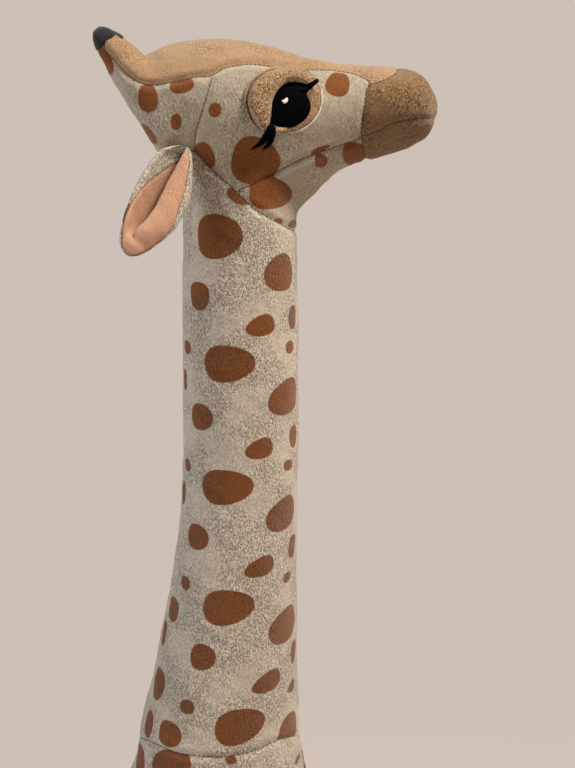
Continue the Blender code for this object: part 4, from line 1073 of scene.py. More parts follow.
def split_hide(hide, region):
    """Parts the hide into its skins, which keep the whole hide's shading across their edges."""
    mesh = hide.data
    mesh.materials.clear()
    for name, _, _ in HIDE_REGIONS:
        mesh.materials.append(bpy.data.materials.new("part_" + name))
    mesh.polygons.foreach_set("material_index", region.astype(np.int32))
    bpy.ops.object.select_all(action="DESELECT")
    bpy.context.view_layer.objects.active = hide
    hide.select_set(True)
    before = set(bpy.data.objects)
    bpy.ops.object.mode_set(mode="EDIT")
    bpy.ops.mesh.select_all(action="SELECT")
    bpy.ops.mesh.separate(type="MATERIAL")
    bpy.ops.object.mode_set(mode="OBJECT")
    skins = {}
    for obj in [hide] + sorted(set(bpy.data.objects) - before, key=lambda o: o.name):
        names = [slot.material.name for slot in obj.material_slots if slot.material]
        index = obj.data.polygons[0].material_index
        name = names[index].removeprefix("part_")
        obj.name = obj.data.name = name
        store = obj.data.attributes["whole_normal"]
        whole = vectors(store.data, "vector")
        obj.data.attributes.remove(store)
        obj.data.materials.clear()
        obj.data.normals_split_custom_set_from_vertices(whole)
        skins[name] = obj
    for material in [m for m in bpy.data.materials if m.name.startswith("part_")]:
        bpy.data.materials.remove(material)
    return skins


# ---------------------------------------------------------------- materials


def add_node(tree, kind, inputs=None, **settings):
    """Adds a node, sets its settings, and gives its inputs values or links."""
    node = tree.nodes.new("ShaderNode" + kind)
    for key, value in settings.items():
        setattr(node, key, value)
    for key, value in (inputs or {}).items():
        if isinstance(value, bpy.types.NodeSocket):
            tree.links.new(value, node.inputs[key])
        else:
            node.inputs[key].default_value = value
    return node


def new_material(name):
    made = bpy.data.materials.get(name) or bpy.data.materials.new(name)
    made.use_nodes = True
    made.node_tree.nodes.clear()
    return made, made.node_tree


def seen_mask(tree):
    """One for rays that show the stage to the camera, nought for those that light the giraffe."""
    path = add_node(tree, "LightPath").outputs
    mask = path["Is Camera Ray"]
    for way in ("Is Glossy Ray", "Is Transmission Ray"):
        mask = add_node(tree, "Math", {0: mask, 1: path[way]}, operation="ADD", use_clamp=True).outputs[0]
    return mask


def velour(name, cloth, shade, fleck=1.0, printed=False, pile_mm=1.25, sheen=0.3, comb=0.6, deep=None,
           bordered=False):
    """Short-pile polyester velour, knitted and shorn, its nap crushed in patches.

    The crushed nap gives the eye fine silvery flecks about a millimetre across, a soft pale edge
    where the pile is seen side on, and no gloss. The print, where there is one, has crisp edges that
    only waver by the pile's own width.
    """
    made, tree = new_material(name)
    colours = bpy.context.scene.giraffe_colours
    place = add_node(tree, "TexCoord").outputs["Object"]
    # Flecks: the real pile is 0.3 mm, drawn at pile_mm because finer doesn't show in a whole view
    combed = add_node(tree, "Mapping", {
        "Vector": place, "Rotation": (0.0, math.radians(32), 0.0), "Scale": (1.0, 1.0, comb)}).outputs[0]
    flecks = add_node(tree, "TexNoise", {
        "Vector": combed, "Scale": 1000 / pile_mm, "Detail": 2.0, "Roughness": 0.65, "Distortion": 0.5})
    fine = add_node(tree, "TexNoise", {
        "Vector": place, "Scale": 1000 / 0.7, "Detail": 1.0, "Roughness": 0.6})
    # Patches of crushed nap are a hand's stroke wide, about 35 mm
    patches = add_node(tree, "TexNoise", {
        "Vector": place, "Scale": 1000 / 35, "Detail": 2.0, "Roughness": 0.5})
    patch = add_node(tree, "MapRange", {
        "Value": patches.outputs["Fac"], "From Min": 0.38, "From Max": 0.58, "To Min": 0.35, "To Max": 1.0},
        interpolation_type="SMOOTHSTEP").outputs["Result"]
    spread = add_node(tree, "MapRange", {
        "Value": flecks.outputs["Fac"], "From Min": 0.38, "From Max": 0.64, "To Min": -0.5, "To Max": 0.5},
        ).outputs["Result"]
    crushed = add_node(tree, "Math", {0: spread, 1: patch}, operation="MULTIPLY").outputs[0]
    tone = add_node(tree, "Math", {0: crushed, 1: fleck, 2: 0.5},
                    operation="MULTIPLY_ADD", use_clamp=True).outputs[0]

    words = ["ring", "rim", "edge", "spot", "other_spot", "muzzle", "crown", "along", "seam"]
    words = words if printed else []
    words += (["deep"] if deep else []) + (["border", "crease"] if bordered else [])
    mark = {word: add_node(tree, "Attribute", attribute_name=word).outputs["Fac"] for word in words}
    printed_grounds = ((colours.spot, SPOT[1]), (colours.muzzle, MUZZLE[1]), (colours.tan, TAN[1]))
    inks = []
    for lit, dark in ((cloth, shade), *(printed_grounds if printed else ())):
        inks.append(add_node(tree, "Mix", {"Factor": tone, "A": linear(dark), "B": tuple(lit)},
                             data_type="RGBA").outputs["Result"])

    def edge(value, width=0.35, waver=0.5):
        shaken = add_node(tree, "Math", {0: fine.outputs["Fac"], 1: waver, 2: value},
                          operation="MULTIPLY_ADD").outputs[0]
        return add_node(tree, "MapRange", {
            "Value": shaken, "From Min": waver / 2 - width, "From Max": waver / 2 + width,
            "To Min": 0.0, "To Max": 1.0}).outputs["Result"]

    # Each layer is a colour and where it covers those before it
    layers = []
    if printed:
        # Painted highlight: a pale line half a millimetre wide along the cloth's raised edge below and before the
        # eye's patch
        off = add_node(tree, "Math", {0: mark["ring"], 1: RIM_OFF_MM}, operation="SUBTRACT").outputs[0]
        off = add_node(tree, "Math", {0: off}, operation="ABSOLUTE").outputs[0]
        highlight_line = add_node(tree, "MapRange", {
            "Value": off, "From Min": 0.2, "From Max": 0.6, "To Min": 0.85, "To Max": 0.0,
        }).outputs["Result"]
        rim = add_node(tree, "Math", {0: highlight_line, 1: mark["rim"]}, operation="MULTIPLY").outputs[0]
        layers.append((linear(RIM_HIGHLIGHT), rim))
        first_side = edge(mark["edge"], 0.1, 0.0)
        inside = add_node(tree, "Mix", {
            "Factor": first_side, "A": mark["other_spot"], "B": mark["spot"]}, data_type="FLOAT").outputs["Result"]
        layers += [(inks[1], edge(inside)), (inks[2], edge(mark["muzzle"], 0.2, 0.15)),
                   (inks[3], edge(mark["crown"], 0.2, 0.15))]
        # Sewing thread and the shadow of the seam: a fine broken dark line along each seam
        stitch = add_node(tree, "Math", {0: mark["along"], 1: math.tau / STITCH_STEP_MM},
                          operation="MULTIPLY").outputs[0]
        broken = add_node(tree, "Math", {0: stitch}, operation="SINE").outputs[0]
        weight = add_node(tree, "MapRange", {
            "Value": broken, "From Min": -0.8, "From Max": 0.3, "To Min": 0.45, "To Max": 0.9,
        }).outputs["Result"]
        away = add_node(tree, "Math", {0: mark["seam"]}, operation="ABSOLUTE").outputs[0]
        line = add_node(tree, "MapRange", {
            "Value": away, "From Min": 0.22, "From Max": 0.65, "To Min": 1.0, "To Max": 0.0,
        }).outputs["Result"]
        sewn = add_node(tree, "Math", {0: weight, 1: line}, operation="MULTIPLY").outputs[0]
        layers.append((linear(THREAD_AND_SHADE_DARK), sewn))
    # Painted shade: where the attribute deep says, the cloth is mixed towards the darker colour deep
    if deep:
        layers.append((linear(deep), mark["deep"]))
    if bordered:
        # The patch's turned edge and its row of thread show as a fine broken dark outline, and painted shade
        # darkens the crease round the lid's roll
        shaken = add_node(tree, "Math", {0: flecks.outputs["Fac"], 1: 2.2, 2: mark["border"]},
                          operation="MULTIPLY_ADD").outputs[0]
        outline = add_node(tree, "MapRange", {
            "Value": shaken, "From Min": 1.3, "From Max": 2.1, "To Min": 0.75, "To Max": 0.0,
        }).outputs["Result"]
        layers += [(linear(THREAD_AND_SHADE_DARK), outline), (linear(THREAD_AND_SHADE_DARK), mark["crease"])]
    colour = inks[0]
    for above, mask in layers:
        colour = add_node(tree, "Mix", {"Factor": mask, "A": colour, "B": above},
                          data_type="RGBA").outputs["Result"]
    height = add_node(tree, "Math", {0: fine.outputs["Fac"], 1: 0.35, 2: crushed},
                      operation="MULTIPLY_ADD").outputs[0]
    bump = add_node(tree, "Bump", {
        "Strength": min(1.0, 0.6 * fleck + 0.1), "Distance": 0.0007, "Height": height})
    shader = add_node(tree, "BsdfPrincipled", {
        "Base Color": colour, "Roughness": 0.92, "Specular IOR Level": 0.15, "Sheen Weight": sheen,
        "Sheen Roughness": 0.45, "IOR": 1.46, "Normal": bump.outputs["Normal"],
        "Sheen Tint": (1.0, 0.97, 0.92, 1.0)})
    add_node(tree, "OutputMaterial", {"Surface": shader.outputs["BSDF"]})
    return made


def felt(name, text, sheen=0.25, roughness=0.9, specular=0.2):
    """Pressed wool-polyester felt or satin stitch: matted fibres that scatter a faint cool bloom."""
    made, tree = new_material(name)
    place = add_node(tree, "TexCoord").outputs["Object"]
    fibres = add_node(tree, "TexNoise", {"Vector": place, "Scale": 900.0, "Detail": 3.0, "Distortion": 0.8})
    r, g, b, _ = linear(text)
    colour = add_node(tree, "Mix", {
        "Factor": fibres.outputs["Fac"], "A": (r * 0.55, g * 0.55, b * 0.55, 1),
        "B": (r * 1.5, g * 1.5, b * 1.5, 1)}, data_type="RGBA").outputs["Result"]
    bump = add_node(tree, "Bump", {
        "Strength": 0.5, "Distance": 0.00025, "Height": fibres.outputs["Fac"]})
    shader = add_node(tree, "BsdfPrincipled", {
        "Base Color": colour, "Roughness": roughness, "Specular IOR Level": specular, "Sheen Weight": sheen,
        "Sheen Roughness": 0.5, "IOR": 1.5, "Normal": bump.outputs["Normal"]})
    add_node(tree, "OutputMaterial", {"Surface": shader.outputs["BSDF"]})
    return made


def drawn_steel(name):
    """Drawn spring-steel wire: a grey metal with fine lines left by the die, seen in no finished view."""
    made, tree = new_material(name)
    place = add_node(tree, "TexCoord").outputs["Object"]
    lines = add_node(tree, "TexNoise", {"Vector": place, "Scale": 700.0, "Detail": 2.0})
    rough = add_node(tree, "MapRange", {
        "Value": lines.outputs["Fac"], "From Min": 0.3, "From Max": 0.7, "To Min": 0.28, "To Max": 0.5,
    }).outputs["Result"]
    shade = add_node(tree, "Mix", {
        "Factor": lines.outputs["Fac"], "A": linear("#7d8388"), "B": linear(STEEL)},
        data_type="RGBA").outputs["Result"]
    shader = add_node(tree, "BsdfPrincipled", {"Base Color": shade, "Roughness": rough, "Metallic": 1.0})
    add_node(tree, "OutputMaterial", {"Surface": shader.outputs["BSDF"]})
    return made


# ---------------------------------------------------------------- pieces


def dress(obj, body, slot, material, *nodes, fill=None):
    """Gives a finished piece its material and its body, and hides the nodes that it stands for."""
    obj.data.materials.clear()
    obj.data.materials.append(material)
    if nodes:
        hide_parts(*nodes)
    if body:
        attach(obj, body)
    return obj


def mirrored(obj, name):
    """A copy of a right-hand piece on the left."""
    bm = bmesh.new()
    bm.from_mesh(obj.data)
    bmesh.ops.scale(bm, vec=(1, -1, 1), verts=bm.verts)
    bmesh.ops.reverse_faces(bm, faces=bm.faces)
    return linked(bm, name)


def surface_of(*names):
    """The surface of some finished pieces, for pieces that are sewn onto them."""
    bm = bmesh.new()
    for name in names:
        bm.from_mesh(bpy.data.objects[name].data)
    tree = BVHTree.FromBMesh(bm)
    bm.free()
    return tree


def lay(tree, pixel, height):
    """The point that stands height over the right side of the head at a pixel."""
    place, normal, _, _ = tree.ray_cast(CAMERA_PLACE, sight(pixel))
    if place is None:
        raise RuntimeError(f"no cloth at pixel {pixel}")
    return place + normal * height


def outward_at(tree, pixel):
    return (lay(tree, pixel, 1) - lay(tree, pixel, 0)).normalized()


def backed(bm, outward, depth):
    """Closes a sheet into a pad by carrying a copy of it back into the head."""
    bm.normal_update()
    if sum((face.normal for face in bm.faces), Vector()).dot(outward) < 0:
        bmesh.ops.reverse_faces(bm, faces=bm.faces)
    shell = bmesh.ops.extrude_face_region(bm, geom=list(bm.faces))
    moved = [item for item in shell["geom"] if isinstance(item, bmesh.types.BMVert)]
    bmesh.ops.translate(bm, verts=moved, vec=outward * -depth)


def ring_patch(name, tree, outer, inner, steps, height_of, back=0.0022, count=96, thinner=1.0,
               crease_shade_of=None):
    """A closed pad on the head from an outline inwards, to another outline or to the eye's middle."""
    outer = around(outer, count)
    centre = np.array(inner if np.isscalar(inner[0]) else EYE_CENTRE_pixels, float)
    whole = np.isscalar(inner[0])
    if whole:
        inner_line = np.repeat(centre[None], count, 0)
    else:
        dense = around(inner, 720) - centre
        angles, far = sorted_round(np.arctan2(dense[:, 1], dense[:, 0]), np.linalg.norm(dense, axis=1))
        wanted = np.arctan2(outer[:, 1] - centre[1], outer[:, 0] - centre[0])
        reach = np.interp(wanted, angles, far, period=math.tau)[:, None] * thinner
        inner_line = centre + np.stack([np.cos(wanted), np.sin(wanted)], 1) * reach
    bm = bmesh.new()
    border, crease = (bm.verts.layers.float.new(word) for word in ("border", "crease"))
    loops = []
    for step in range(steps + (0 if whole else 1)):
        share = step / steps
        pixels = outer + (inner_line - outer) * share
        made = bmesh.ops.create_circle(bm, segments=count, radius=1)["verts"]
        for vert, pixel, rim in zip(made, pixels, outer):
            vert.co = lay(tree, pixel, height_of(pixel, share))
            vert[border] = np.linalg.norm(pixel - rim) / PIXELS_PER_MM
            # Painted shade along the lid's crease, where one is given
            vert[crease] = crease_shade_of(pixel, share) if crease_shade_of else 0.0
        loops.append(edges_of(made))
    bridged(bm, loops, capped=False)
    if whole:
        cap = bmesh.ops.contextual_create(bm, geom=list(loops[-1]))["faces"]
        bmesh.ops.poke(bm, faces=cap)
    bmesh.ops.recalc_face_normals(bm, faces=bm.faces)
    backed(bm, outward_at(tree, EYE_CENTRE_pixels), back)
    return mesh_object(bm, name)


def stroke(name, tree, lines, height, back=0.0012):
    """Raised embroidered strokes that taper to points, over whatever lies under them."""
    bm = bmesh.new()
    across = 7
    for line in lines:
        path = through(line, 30)
        way = np.gradient(path[:, :2], axis=0)
        way /= np.linalg.norm(way, axis=1, keepdims=True)
        square = np.stack([-way[:, 1], way[:, 0]], 1)
        sheet = bmesh.new()
        made = bmesh.ops.create_grid(sheet, x_segments=len(path) - 1, y_segments=across - 1, size=1)["verts"]
        made.sort(key=lambda vert: (round(vert.co.x, 4), round(vert.co.y, 4)))
        for index, vert in enumerate(made):
            row, column = divmod(index, across)
            share = column / (across - 1) * 2 - 1
            pixel = path[row, :2] + square[row] * share * max(path[row, 2], 0.15)
            round_top = 0.25 + 0.75 * math.sqrt(max(0.0, 1 - share * share))
            vert.co = lay(tree, pixel, height * round_top)
        backed(sheet, outward_at(tree, EYE_CENTRE_pixels), back)
        mesh = bpy.data.meshes.new(name)
        sheet.to_mesh(mesh)
        sheet.free()
        bm.from_mesh(mesh)
        bpy.data.meshes.remove(mesh)
    return mesh_object(bm, name)


def ear_section(edge, pocket, lobe):
    """Places across the ear, front then back: share of the half width, and height in mm.

    The front half is a full flap whose edge laps over the deep pocket of the rear half, and the
    rear edge is rolled over. Towards the tip it turns into a plain lobe.
    """
    gap = edge + 0.72
    half = 1 - edge
    folded = [
        (-1.000, -0.4), (-0.985, 2.2), (-0.900, 4.0), (-0.780, 3.8), (-0.680, 1.8),
        (-0.72 + 0.24 * gap, -1.8 * pocket), (-0.72 + 0.58 * gap, -5.6 * pocket),
        (edge + 0.010, -9.0 * pocket), (edge + 0.170, -6.4 * pocket), (edge + 0.080, -1.2),
        (edge - 0.060, 3.0), (edge + 0.050, 6.4), (edge + 0.38 * half, 8.2), (edge + 0.70 * half, 6.8),
        (edge + 0.91 * half, 3.2), (1.000, -0.4),
    ]
    plain = [
        (v, 4.6 * max(0.0, 1 - v * v) ** 0.75 - 0.4)
        for v in (-1, -0.97, -0.88, -0.78, -0.68, -0.57, -0.44, -0.30, -0.18, -0.08, 0.04, 0.20, 0.46,
                  0.70, 0.88, 1)
    ]
    front = [(a + (c - a) * lobe, b + (d - b) * lobe) for (a, b), (c, d) in zip(folded, plain)]
    deep = pocket * (1 - lobe)
    back = [(0.94, -2.0), (0.62, -2.4 - 1.0 * deep), (0.28, -2.7 - 6.0 * deep), (-0.04, -2.7 - 8.6 * deep),
            (-0.36, -2.7 - 6.4 * deep), (-0.70, -2.4 - 2.6 * deep), (-0.93, -1.9 - 0.2 * deep)]
    return front + back


def loop_through(points, per):
    """A smooth closed curve with the same number of steps between each two points."""
    points = list(points)
    long = through(points[-2:] + points + points[:3], (len(points) + 4) * per + 1)
    return long[2 * per : 2 * per + len(points) * per]


def ear_form():
    """The right ear as a closed folded leaf, and how deep each point lies inside its lining, in mm."""
    back = Vector((-math.sin(EAR_BACKWARD), 0, -math.cos(EAR_BACKWARD)))
    length_way = back * math.cos(EAR_OUTWARD) - SIDE * math.sin(EAR_OUTWARD)
    width_way = Vector((math.cos(EAR_BACKWARD), 0, -math.sin(EAR_BACKWARD)))
    face_way = length_way.cross(width_way)
    border = np.array(EAR_BORDER_mm)
    per = 4
    bm = bmesh.new()
    depth = bm.verts.layers.float.new("lining")
    # How much painted shade each point of the pocket gets, for the lining's material
    pocket_shade_layer = bm.verts.layers.float.new("deep")
    loops = []
    for along, rear_half, front_half, edge, pocket, lobe in through(EAR_shares, 64):
        section = loop_through(ear_section(edge, pocket, min(max(lobe, 0), 1)), per)
        thick = min(1.0, 0.4 + along * 8, (1.0 - along) * 9 + 0.25) if along > 0 else 0.4
        across = np.where(section[:, 0] > 0, front_half, rear_half) * EAR_LENGTH * section[:, 0] * 1000
        raised = section[:, 1] * thick
        step = np.hypot(np.diff(across, append=across[0]), np.diff(raised, append=raised[0]))
        walked = np.r_[0, np.cumsum(step)[:-1]]
        front_end = walked[15 * per]
        rear_cloth, front_cloth = (np.interp(along, border[:, 0], border[:, k]) for k in (1, 2))
        inside = np.minimum(walked - rear_cloth * 0.8, front_end - front_cloth * 0.9 - walked)
        inside = np.minimum(inside, (along - 0.015) * EAR_LENGTH * 1000)
        # Painted shade, most under the flap's edge and none on the plain lobe
        painted_pocket_shade = np.interp(np.arange(len(section)) / per, EAR_POCKET_steps, EAR_POCKET_shades)
        painted_pocket_shade = painted_pocket_shade * pocket * (1 - min(max(lobe, 0), 1))
        inside = np.minimum(inside, (0.99 - along) * EAR_LENGTH * 1000)
        made = bmesh.ops.create_circle(bm, segments=len(section), radius=1)["verts"]
        for vert, w, n, lining, shade in zip(made, across, raised, inside, painted_pocket_shade):
            vert.co = EAR_ROOT + length_way * (along * EAR_LENGTH) + (width_way * w + face_way * n) / 1000
            vert[depth], vert[pocket_shade_layer] = lining, shade
        loops.append(edges_of(made))
    bridged(bm, loops)
    return bm


def ear_pieces(side_name):
    """Parts one ear into its printed back and its lining, shaded as one."""
    made = mesh_object(ear_form(), "ear_right")
    subdivided(made)
    if side_name == "left":
        right, made = made, mirrored(made, "ear_left")
        bpy.data.objects.remove(right)
    mesh = made.data
    points, normals = points_of(mesh), normals_of(mesh)
    depth = np.empty(len(mesh.vertices), np.float32)
    mesh.attributes["lining"].data.foreach_get("value", depth)
    rise = -0.0008 * bell(depth, 0, 1.1) + noise_at(points, 0.02, 7) * 0.0002
    set_points(mesh, points + normals * rise[:, None])
    turned = normals_of(mesh)
    photo = to_photo(points)
    facing = normals[:, 1] * (1 if side_name == "left" else -1) > -0.15
    spots = np.where(facing, spot_depth(*photo.T, EAR_SPOT_pixels), spot_depth(*photo.T, EAR_BACK_SPOT_pixels))
    far = np.full(len(points), 30.0)
    for name, values in (
        ("spot", spots / PIXELS_PER_MM), ("other_spot", spots / PIXELS_PER_MM), ("edge", far),
        ("crown", -far), ("muzzle", -far), ("seam", depth + 0.25), ("along", points[:, 2] * 1000),
        ("ring", far),
    ):
        set_values(mesh, name, values)
    pieces = []
    for name, wanted in (("ear_back_skin_", False), ("ear_lining_skin_", True)):
        bm = bmesh.new()
        bm.from_mesh(mesh)
        layer = bm.verts.layers.float["lining"]
        out = [face for face in bm.faces
               if (sum(vert[layer] for vert in face.verts) / len(face.verts) > 0) != wanted]
        index_layer = bm.verts.layers.int.new("index")
        for vert in bm.verts:
            vert[index_layer] = vert.index
        bmesh.ops.delete(bm, geom=out, context="FACES")
        index = [vert[index_layer] for vert in bm.verts]
        pieces.append(linked(bm, name + side_name))
        pieces[-1].data.normals_split_custom_set_from_vertices(turned[index])
    bpy.data.objects.remove(made)
    return pieces


def turned_piece(name, rings, segments=40):
    bm = bmesh.new()
    sweep(bm, rings, segments)
    return mesh_object(bm, name)


def stuffed(obj, voxel, limit):
    """A small padded piece: remeshed, puffed and smoothed."""
    remeshed(obj, voxel, 3)
    puffed(obj, np.zeros(len(obj.data.vertices)), limit, SMALL_PIECE_FRAMES)
    subdivided(obj)
    obj.data.shade_smooth()
    return obj


class GiraffeOperator:
    """What every operator of this file shares."""

    bl_options = {"REGISTER", "UNDO"}


class GIRAFFE_OT_stage(GiraffeOperator, bpy.types.Operator):
    """Lay the pale floor and set the soft lamps and the photograph's camera"""

    bl_idname = "giraffe.stage"
    bl_label = "Stage"

    def execute(self, context):
        camera = bpy.data.objects.new("photo_camera", bpy.data.cameras.new("photo_camera"))
        context.scene.collection.objects.link(camera)
        right, above, ahead = camera_axes()
        turn = Matrix((right, above, -ahead)).transposed().to_4x4()
        camera.matrix_world = Matrix.Translation(CAMERA_PLACE) @ turn
        camera.data.sensor_fit = "HORIZONTAL"
        camera.data.sensor_width = SENSOR_WIDTH_MM
        camera.data.lens = FOCAL_PIXELS * SENSOR_WIDTH_MM / FRAME_WIDTH
        camera.data.clip_start = 0.01
        context.scene.camera = camera
        context.scene.view_settings.view_transform = "Standard"

        bm = bmesh.new()
        bmesh.ops.create_circle(bm, cap_ends=True, segments=96, radius=9)
        floor = mesh_object(bm, "floor")
        if floor.data.polygons[0].normal.z < 0:
            floor.data.flip_normals()
        made, tree = new_material("pale_floor")
        place = add_node(tree, "TexCoord").outputs["Object"]
        far = add_node(tree, "VectorMath", {0: place}, operation="LENGTH").outputs["Value"]
        fade = add_node(tree, "MapRange", {
            "Value": far, "From Min": 0.6, "From Max": 1.7, "To Min": 0.0, "To Max": 1.0},
            interpolation_type="SMOOTHSTEP").outputs["Result"]
        mask = add_node(tree, "Math", {0: fade, 1: seen_mask(tree)}, operation="MULTIPLY").outputs[0]
        cloth = add_node(tree, "BsdfDiffuse", {"Color": linear(FLOOR_PALE), "Roughness": 0.9})
        glow = add_node(tree, "Emission", {"Color": linear(STAGE_PALE), "Strength": 1.0})
        both = add_node(tree, "MixShader", {0: mask, 1: cloth.outputs[0], 2: glow.outputs[0]})
        add_node(tree, "OutputMaterial", {"Surface": both.outputs[0]})
        floor.data.materials.append(made)

        world = bpy.data.worlds.new("soft_room")
        context.scene.world = world
        world.use_nodes = True
        tree = world.node_tree
        tree.nodes.clear()
        ambient = add_node(tree, "Background", {"Color": linear("#e6e4e4"), "Strength": 0.17})
        shown = add_node(tree, "Background", {"Color": linear(STAGE_PALE), "Strength": 1.0})
        both = add_node(tree, "MixShader", {
            0: seen_mask(tree), 1: ambient.outputs[0], 2: shown.outputs[0]})
        add_node(tree, "OutputWorld", {"Surface": both.outputs[0]})

        for name, place, aim, size, power, text in (
            ("key_lamp", (1.5, -0.6, 3.0), (0.1, 0, 1.0), 0.7, 82.0, "#fff4e8"),
            ("left_lamp", (-2.7, -1.0, 2.1), (0.05, 0, 0.9), 1.8, 56.0, "#eef1fa"),
            ("right_lamp", (2.5, -1.6, 1.4), (0.05, 0, 0.9), 2.0, 3.0, "#ffeedd"),
            ("rim_lamp", (-0.6, 2.0, 2.8), (0.0, 0, 0.9), 1.6, 14.0, "#f8f6ff"),
        ):
            data = bpy.data.lights.new(name, "AREA")
            data.shape, data.size, data.energy = "DISK", size, power
            data.color = linear(text)[:3]
            lamp = bpy.data.objects.new(name, data)
            context.scene.collection.objects.link(lamp)
            lamp.location = place
            lamp.rotation_euler = (Vector(aim) - Vector(place)).to_track_quat("-Z", "Y").to_euler()
        return {"FINISHED"}


class GIRAFFE_OT_hide(GiraffeOperator, bpy.types.Operator):
    """Stuff, sew and print the hide, and part it into its skins"""

    bl_idname = "giraffe.hide"
    bl_label = "Hide: body, legs, neck and head"

    def execute(self, context):
        settings = context.scene.giraffe_sizes
        hide = make_hide(settings)
        region = finish_hide(hide, settings)
        skins = split_hide(hide, region)
        colours = context.scene.giraffe_colours
        cream = velour("printed_cream_velour", colours.cream, CREAM[1], fleck=1.6, printed=True, pile_mm=1.05)
        # Painted shade: the face's panels get a darker copy of the cream, as the face lies in shade
        face = velour("printed_face_velour", linear(SHADED_FACE_CREAM[0]), SHADED_FACE_CREAM[1], fleck=0.8, printed=True)
        tan = velour("tan_crown_velour", linear(SHADED_FACE_CREAM[0]), SHADED_FACE_CREAM[1], fleck=1.0, printed=True)
        dark = velour("tan_muzzle_velour", linear(SHADED_FACE_CREAM[0]), SHADED_FACE_CREAM[1], fleck=1.0, printed=True)
        materials = {"cream_plush": cream, "tan_plush": tan, "muzzle_plush": dark}
        for name, slot, nodes in HIDE_REGIONS:
            if name not in skins:
                raise RuntimeError(f"the hide has no {name}")
            crossing = name in ("lower_neck_skin", "upper_neck_skin", "neck_top_skin")
            on_the_head = name in ("head_skin", "crown_skin", "muzzle_skin")
            body = None if crossing else "head" if on_the_head else "torso"
            material = face if name == "head_skin" else materials[slot]
            dress(skins[name], body, slot, material, *nodes, fill=0.8)
        low, high = (NECK_BASE + UP * height for height in BASE_BEND)
        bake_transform(skins["lower_neck_skin"], "torso", "lower_neck", low, high)
        turn = NECK_BASE + NECK_UP * TURN_ALONG
        end = turn + NECK_UP * TURN_BEND_LENGTH
        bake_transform(skins["upper_neck_skin"], "lower_neck", "upper_neck", turn, end)
        # The neck's top bends under the head, and from the head seam's lowest point up it moves
        # with the head
        low = NECK_BASE + NECK_UP * (NOD_ALONG + NOD_BEND_MARGIN)
        seam = min((vert.co - NECK_BASE).dot(NECK_UP) for vert in skins["head_skin"].data.vertices)
        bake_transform(skins["neck_top_skin"], "upper_neck", "head", low, NECK_BASE + NECK_UP * seam)
        return {"FINISHED"}


class GIRAFFE_OT_eyes(GiraffeOperator, bpy.types.Operator):
    """Sew on the lids, the eyes, their glints and their lashes"""

    bl_idname = "giraffe.eyes"
    bl_label = "Eyes and lashes"

    def execute(self, context):
        face = surface_of("head_skin", "crown_skin")
        lid_height = context.scene.giraffe_sizes.lid_height
        colours = context.scene.giraffe_colours
        centre = np.array(EYE_CENTRE_pixels)

        def fullness(pixel):
            dx, dy = pixel[0] - centre[0], pixel[1] - centre[1]
            turn = math.degrees(math.atan2(-dy, dx)) % 360
            return np.interp(turn, [0, 25, 48, 75, 200, 236, 262, 300, 360],
                             [0, 0, 0.6, 1, 1, 0.75, 0, 0, 0])

        # Painted shade for the crease between the lid's flat border and its stuffed roll
        def crease_shade(pixel, share):
            return 0.75 * fullness(pixel) * bell(share, 0.145, 0.028)

        def lid(pixel, share):
            """A flat border, then a stuffed roll above and behind the eye, flat before and below it."""
            full = fullness(pixel)
            roll = np.interp(share, [0, 0.05, 0.10, 0.15, 0.21, 0.32, 0.48, 0.66, 0.84, 0.95, 1],
                             [0.02, 0.22, 0.20, 0.00, 0.48, 0.84, 1.0, 0.98, 0.82, 0.60, 0.36])
            edge = min(1.0, share / 0.04)
            return 0.0007 * (0.2 + 0.8 * edge) + lid_height * full * roll * (0.1 + 0.9 * edge)

        def ball(pixel, share):
            return 0.0009 + 0.0013 * math.sqrt(1 - (1 - share) ** 2)

        def dot(pixel, share):
            return 0.0006 + 0.0003 * share

        tan = velour("tan_lid_velour", colours.lid, LID[1], fleck=1.15, pile_mm=0.8, comb=0.5, bordered=True)
        black = felt("black_satin_stitch", EYE_BLACK, sheen=0.0, roughness=0.7, specular=0.02)
        white = felt("white_satin_stitch", THREAD_WHITE, sheen=0.0, roughness=0.5)
        ring_patch("eyelid_skin_right", face, LID_OUTLINE_pixels, EYE_OUTLINE_pixels, 28, lid, thinner=0.97,
                   crease_shade_of=crease_shade)
        ring_patch("eye_patch_right", face, EYE_OUTLINE_pixels, EYE_CENTRE_pixels, 10, ball)
        eye = surface_of("eye_patch_right")
        ring_patch("eye_glint_stitch_right", eye, GLINT_OUTLINE_pixels, (285, 100.9), 4, dot, back=0.0012,
                   count=24)
        over = surface_of("head_skin", "crown_skin", "eyelid_skin_right", "eye_patch_right")
        stroke("eyelash_upper_stitch_right", over, (UPPER_LASH_pixels,), 0.0011)
        stroke("eyelash_lower_stitch_right", over, LOWER_LASH_pixels, 0.0011)
        for node, name, slot, material, fill in (
            ("eyelid", "eyelid_skin", "tan_plush", tan, 0.5),
            ("eye", "eye_patch", "black_felt", black, None),
            ("eye_glint", "eye_glint_stitch", "white_thread", white, None),
            ("eyelash_upper", "eyelash_upper_stitch", "black_felt", black, None),
            ("eyelash_lower", "eyelash_lower_stitch", "black_felt", black, None),
        ):
            piece = bpy.data.objects[name + "_right"]
            for obj, word in ((piece, "right"), (mirrored(piece, name + "_left"), "left")):
                dress(obj, "head", slot, material, f"{node}_{word}", fill=fill)
        return {"FINISHED"}


class GIRAFFE_OT_ears(GiraffeOperator, bpy.types.Operator):
    """Fold and line the ears"""

    bl_idname = "giraffe.ears"
    bl_label = "Ears"

    def execute(self, context):
        colours = context.scene.giraffe_colours
        # The lining's pocket gets painted shade
        lining = velour("peach_ear_velour", colours.lining, LINING[1], fleck=0.45, sheen=0.2, deep=LINING_POCKET_SHADE)
        cream = bpy.data.materials["printed_cream_velour"]
        for word, _ in RIGHT_AND_LEFT:
            back, inside = ear_pieces(word)
            dress(back, "ear_" + word, "cream_plush", cream, "ear_back_" + word, fill=0.3)
            dress(inside, "ear_" + word, "pink_plush", lining, "ear_lining_" + word, fill=0.3)
        return {"FINISHED"}


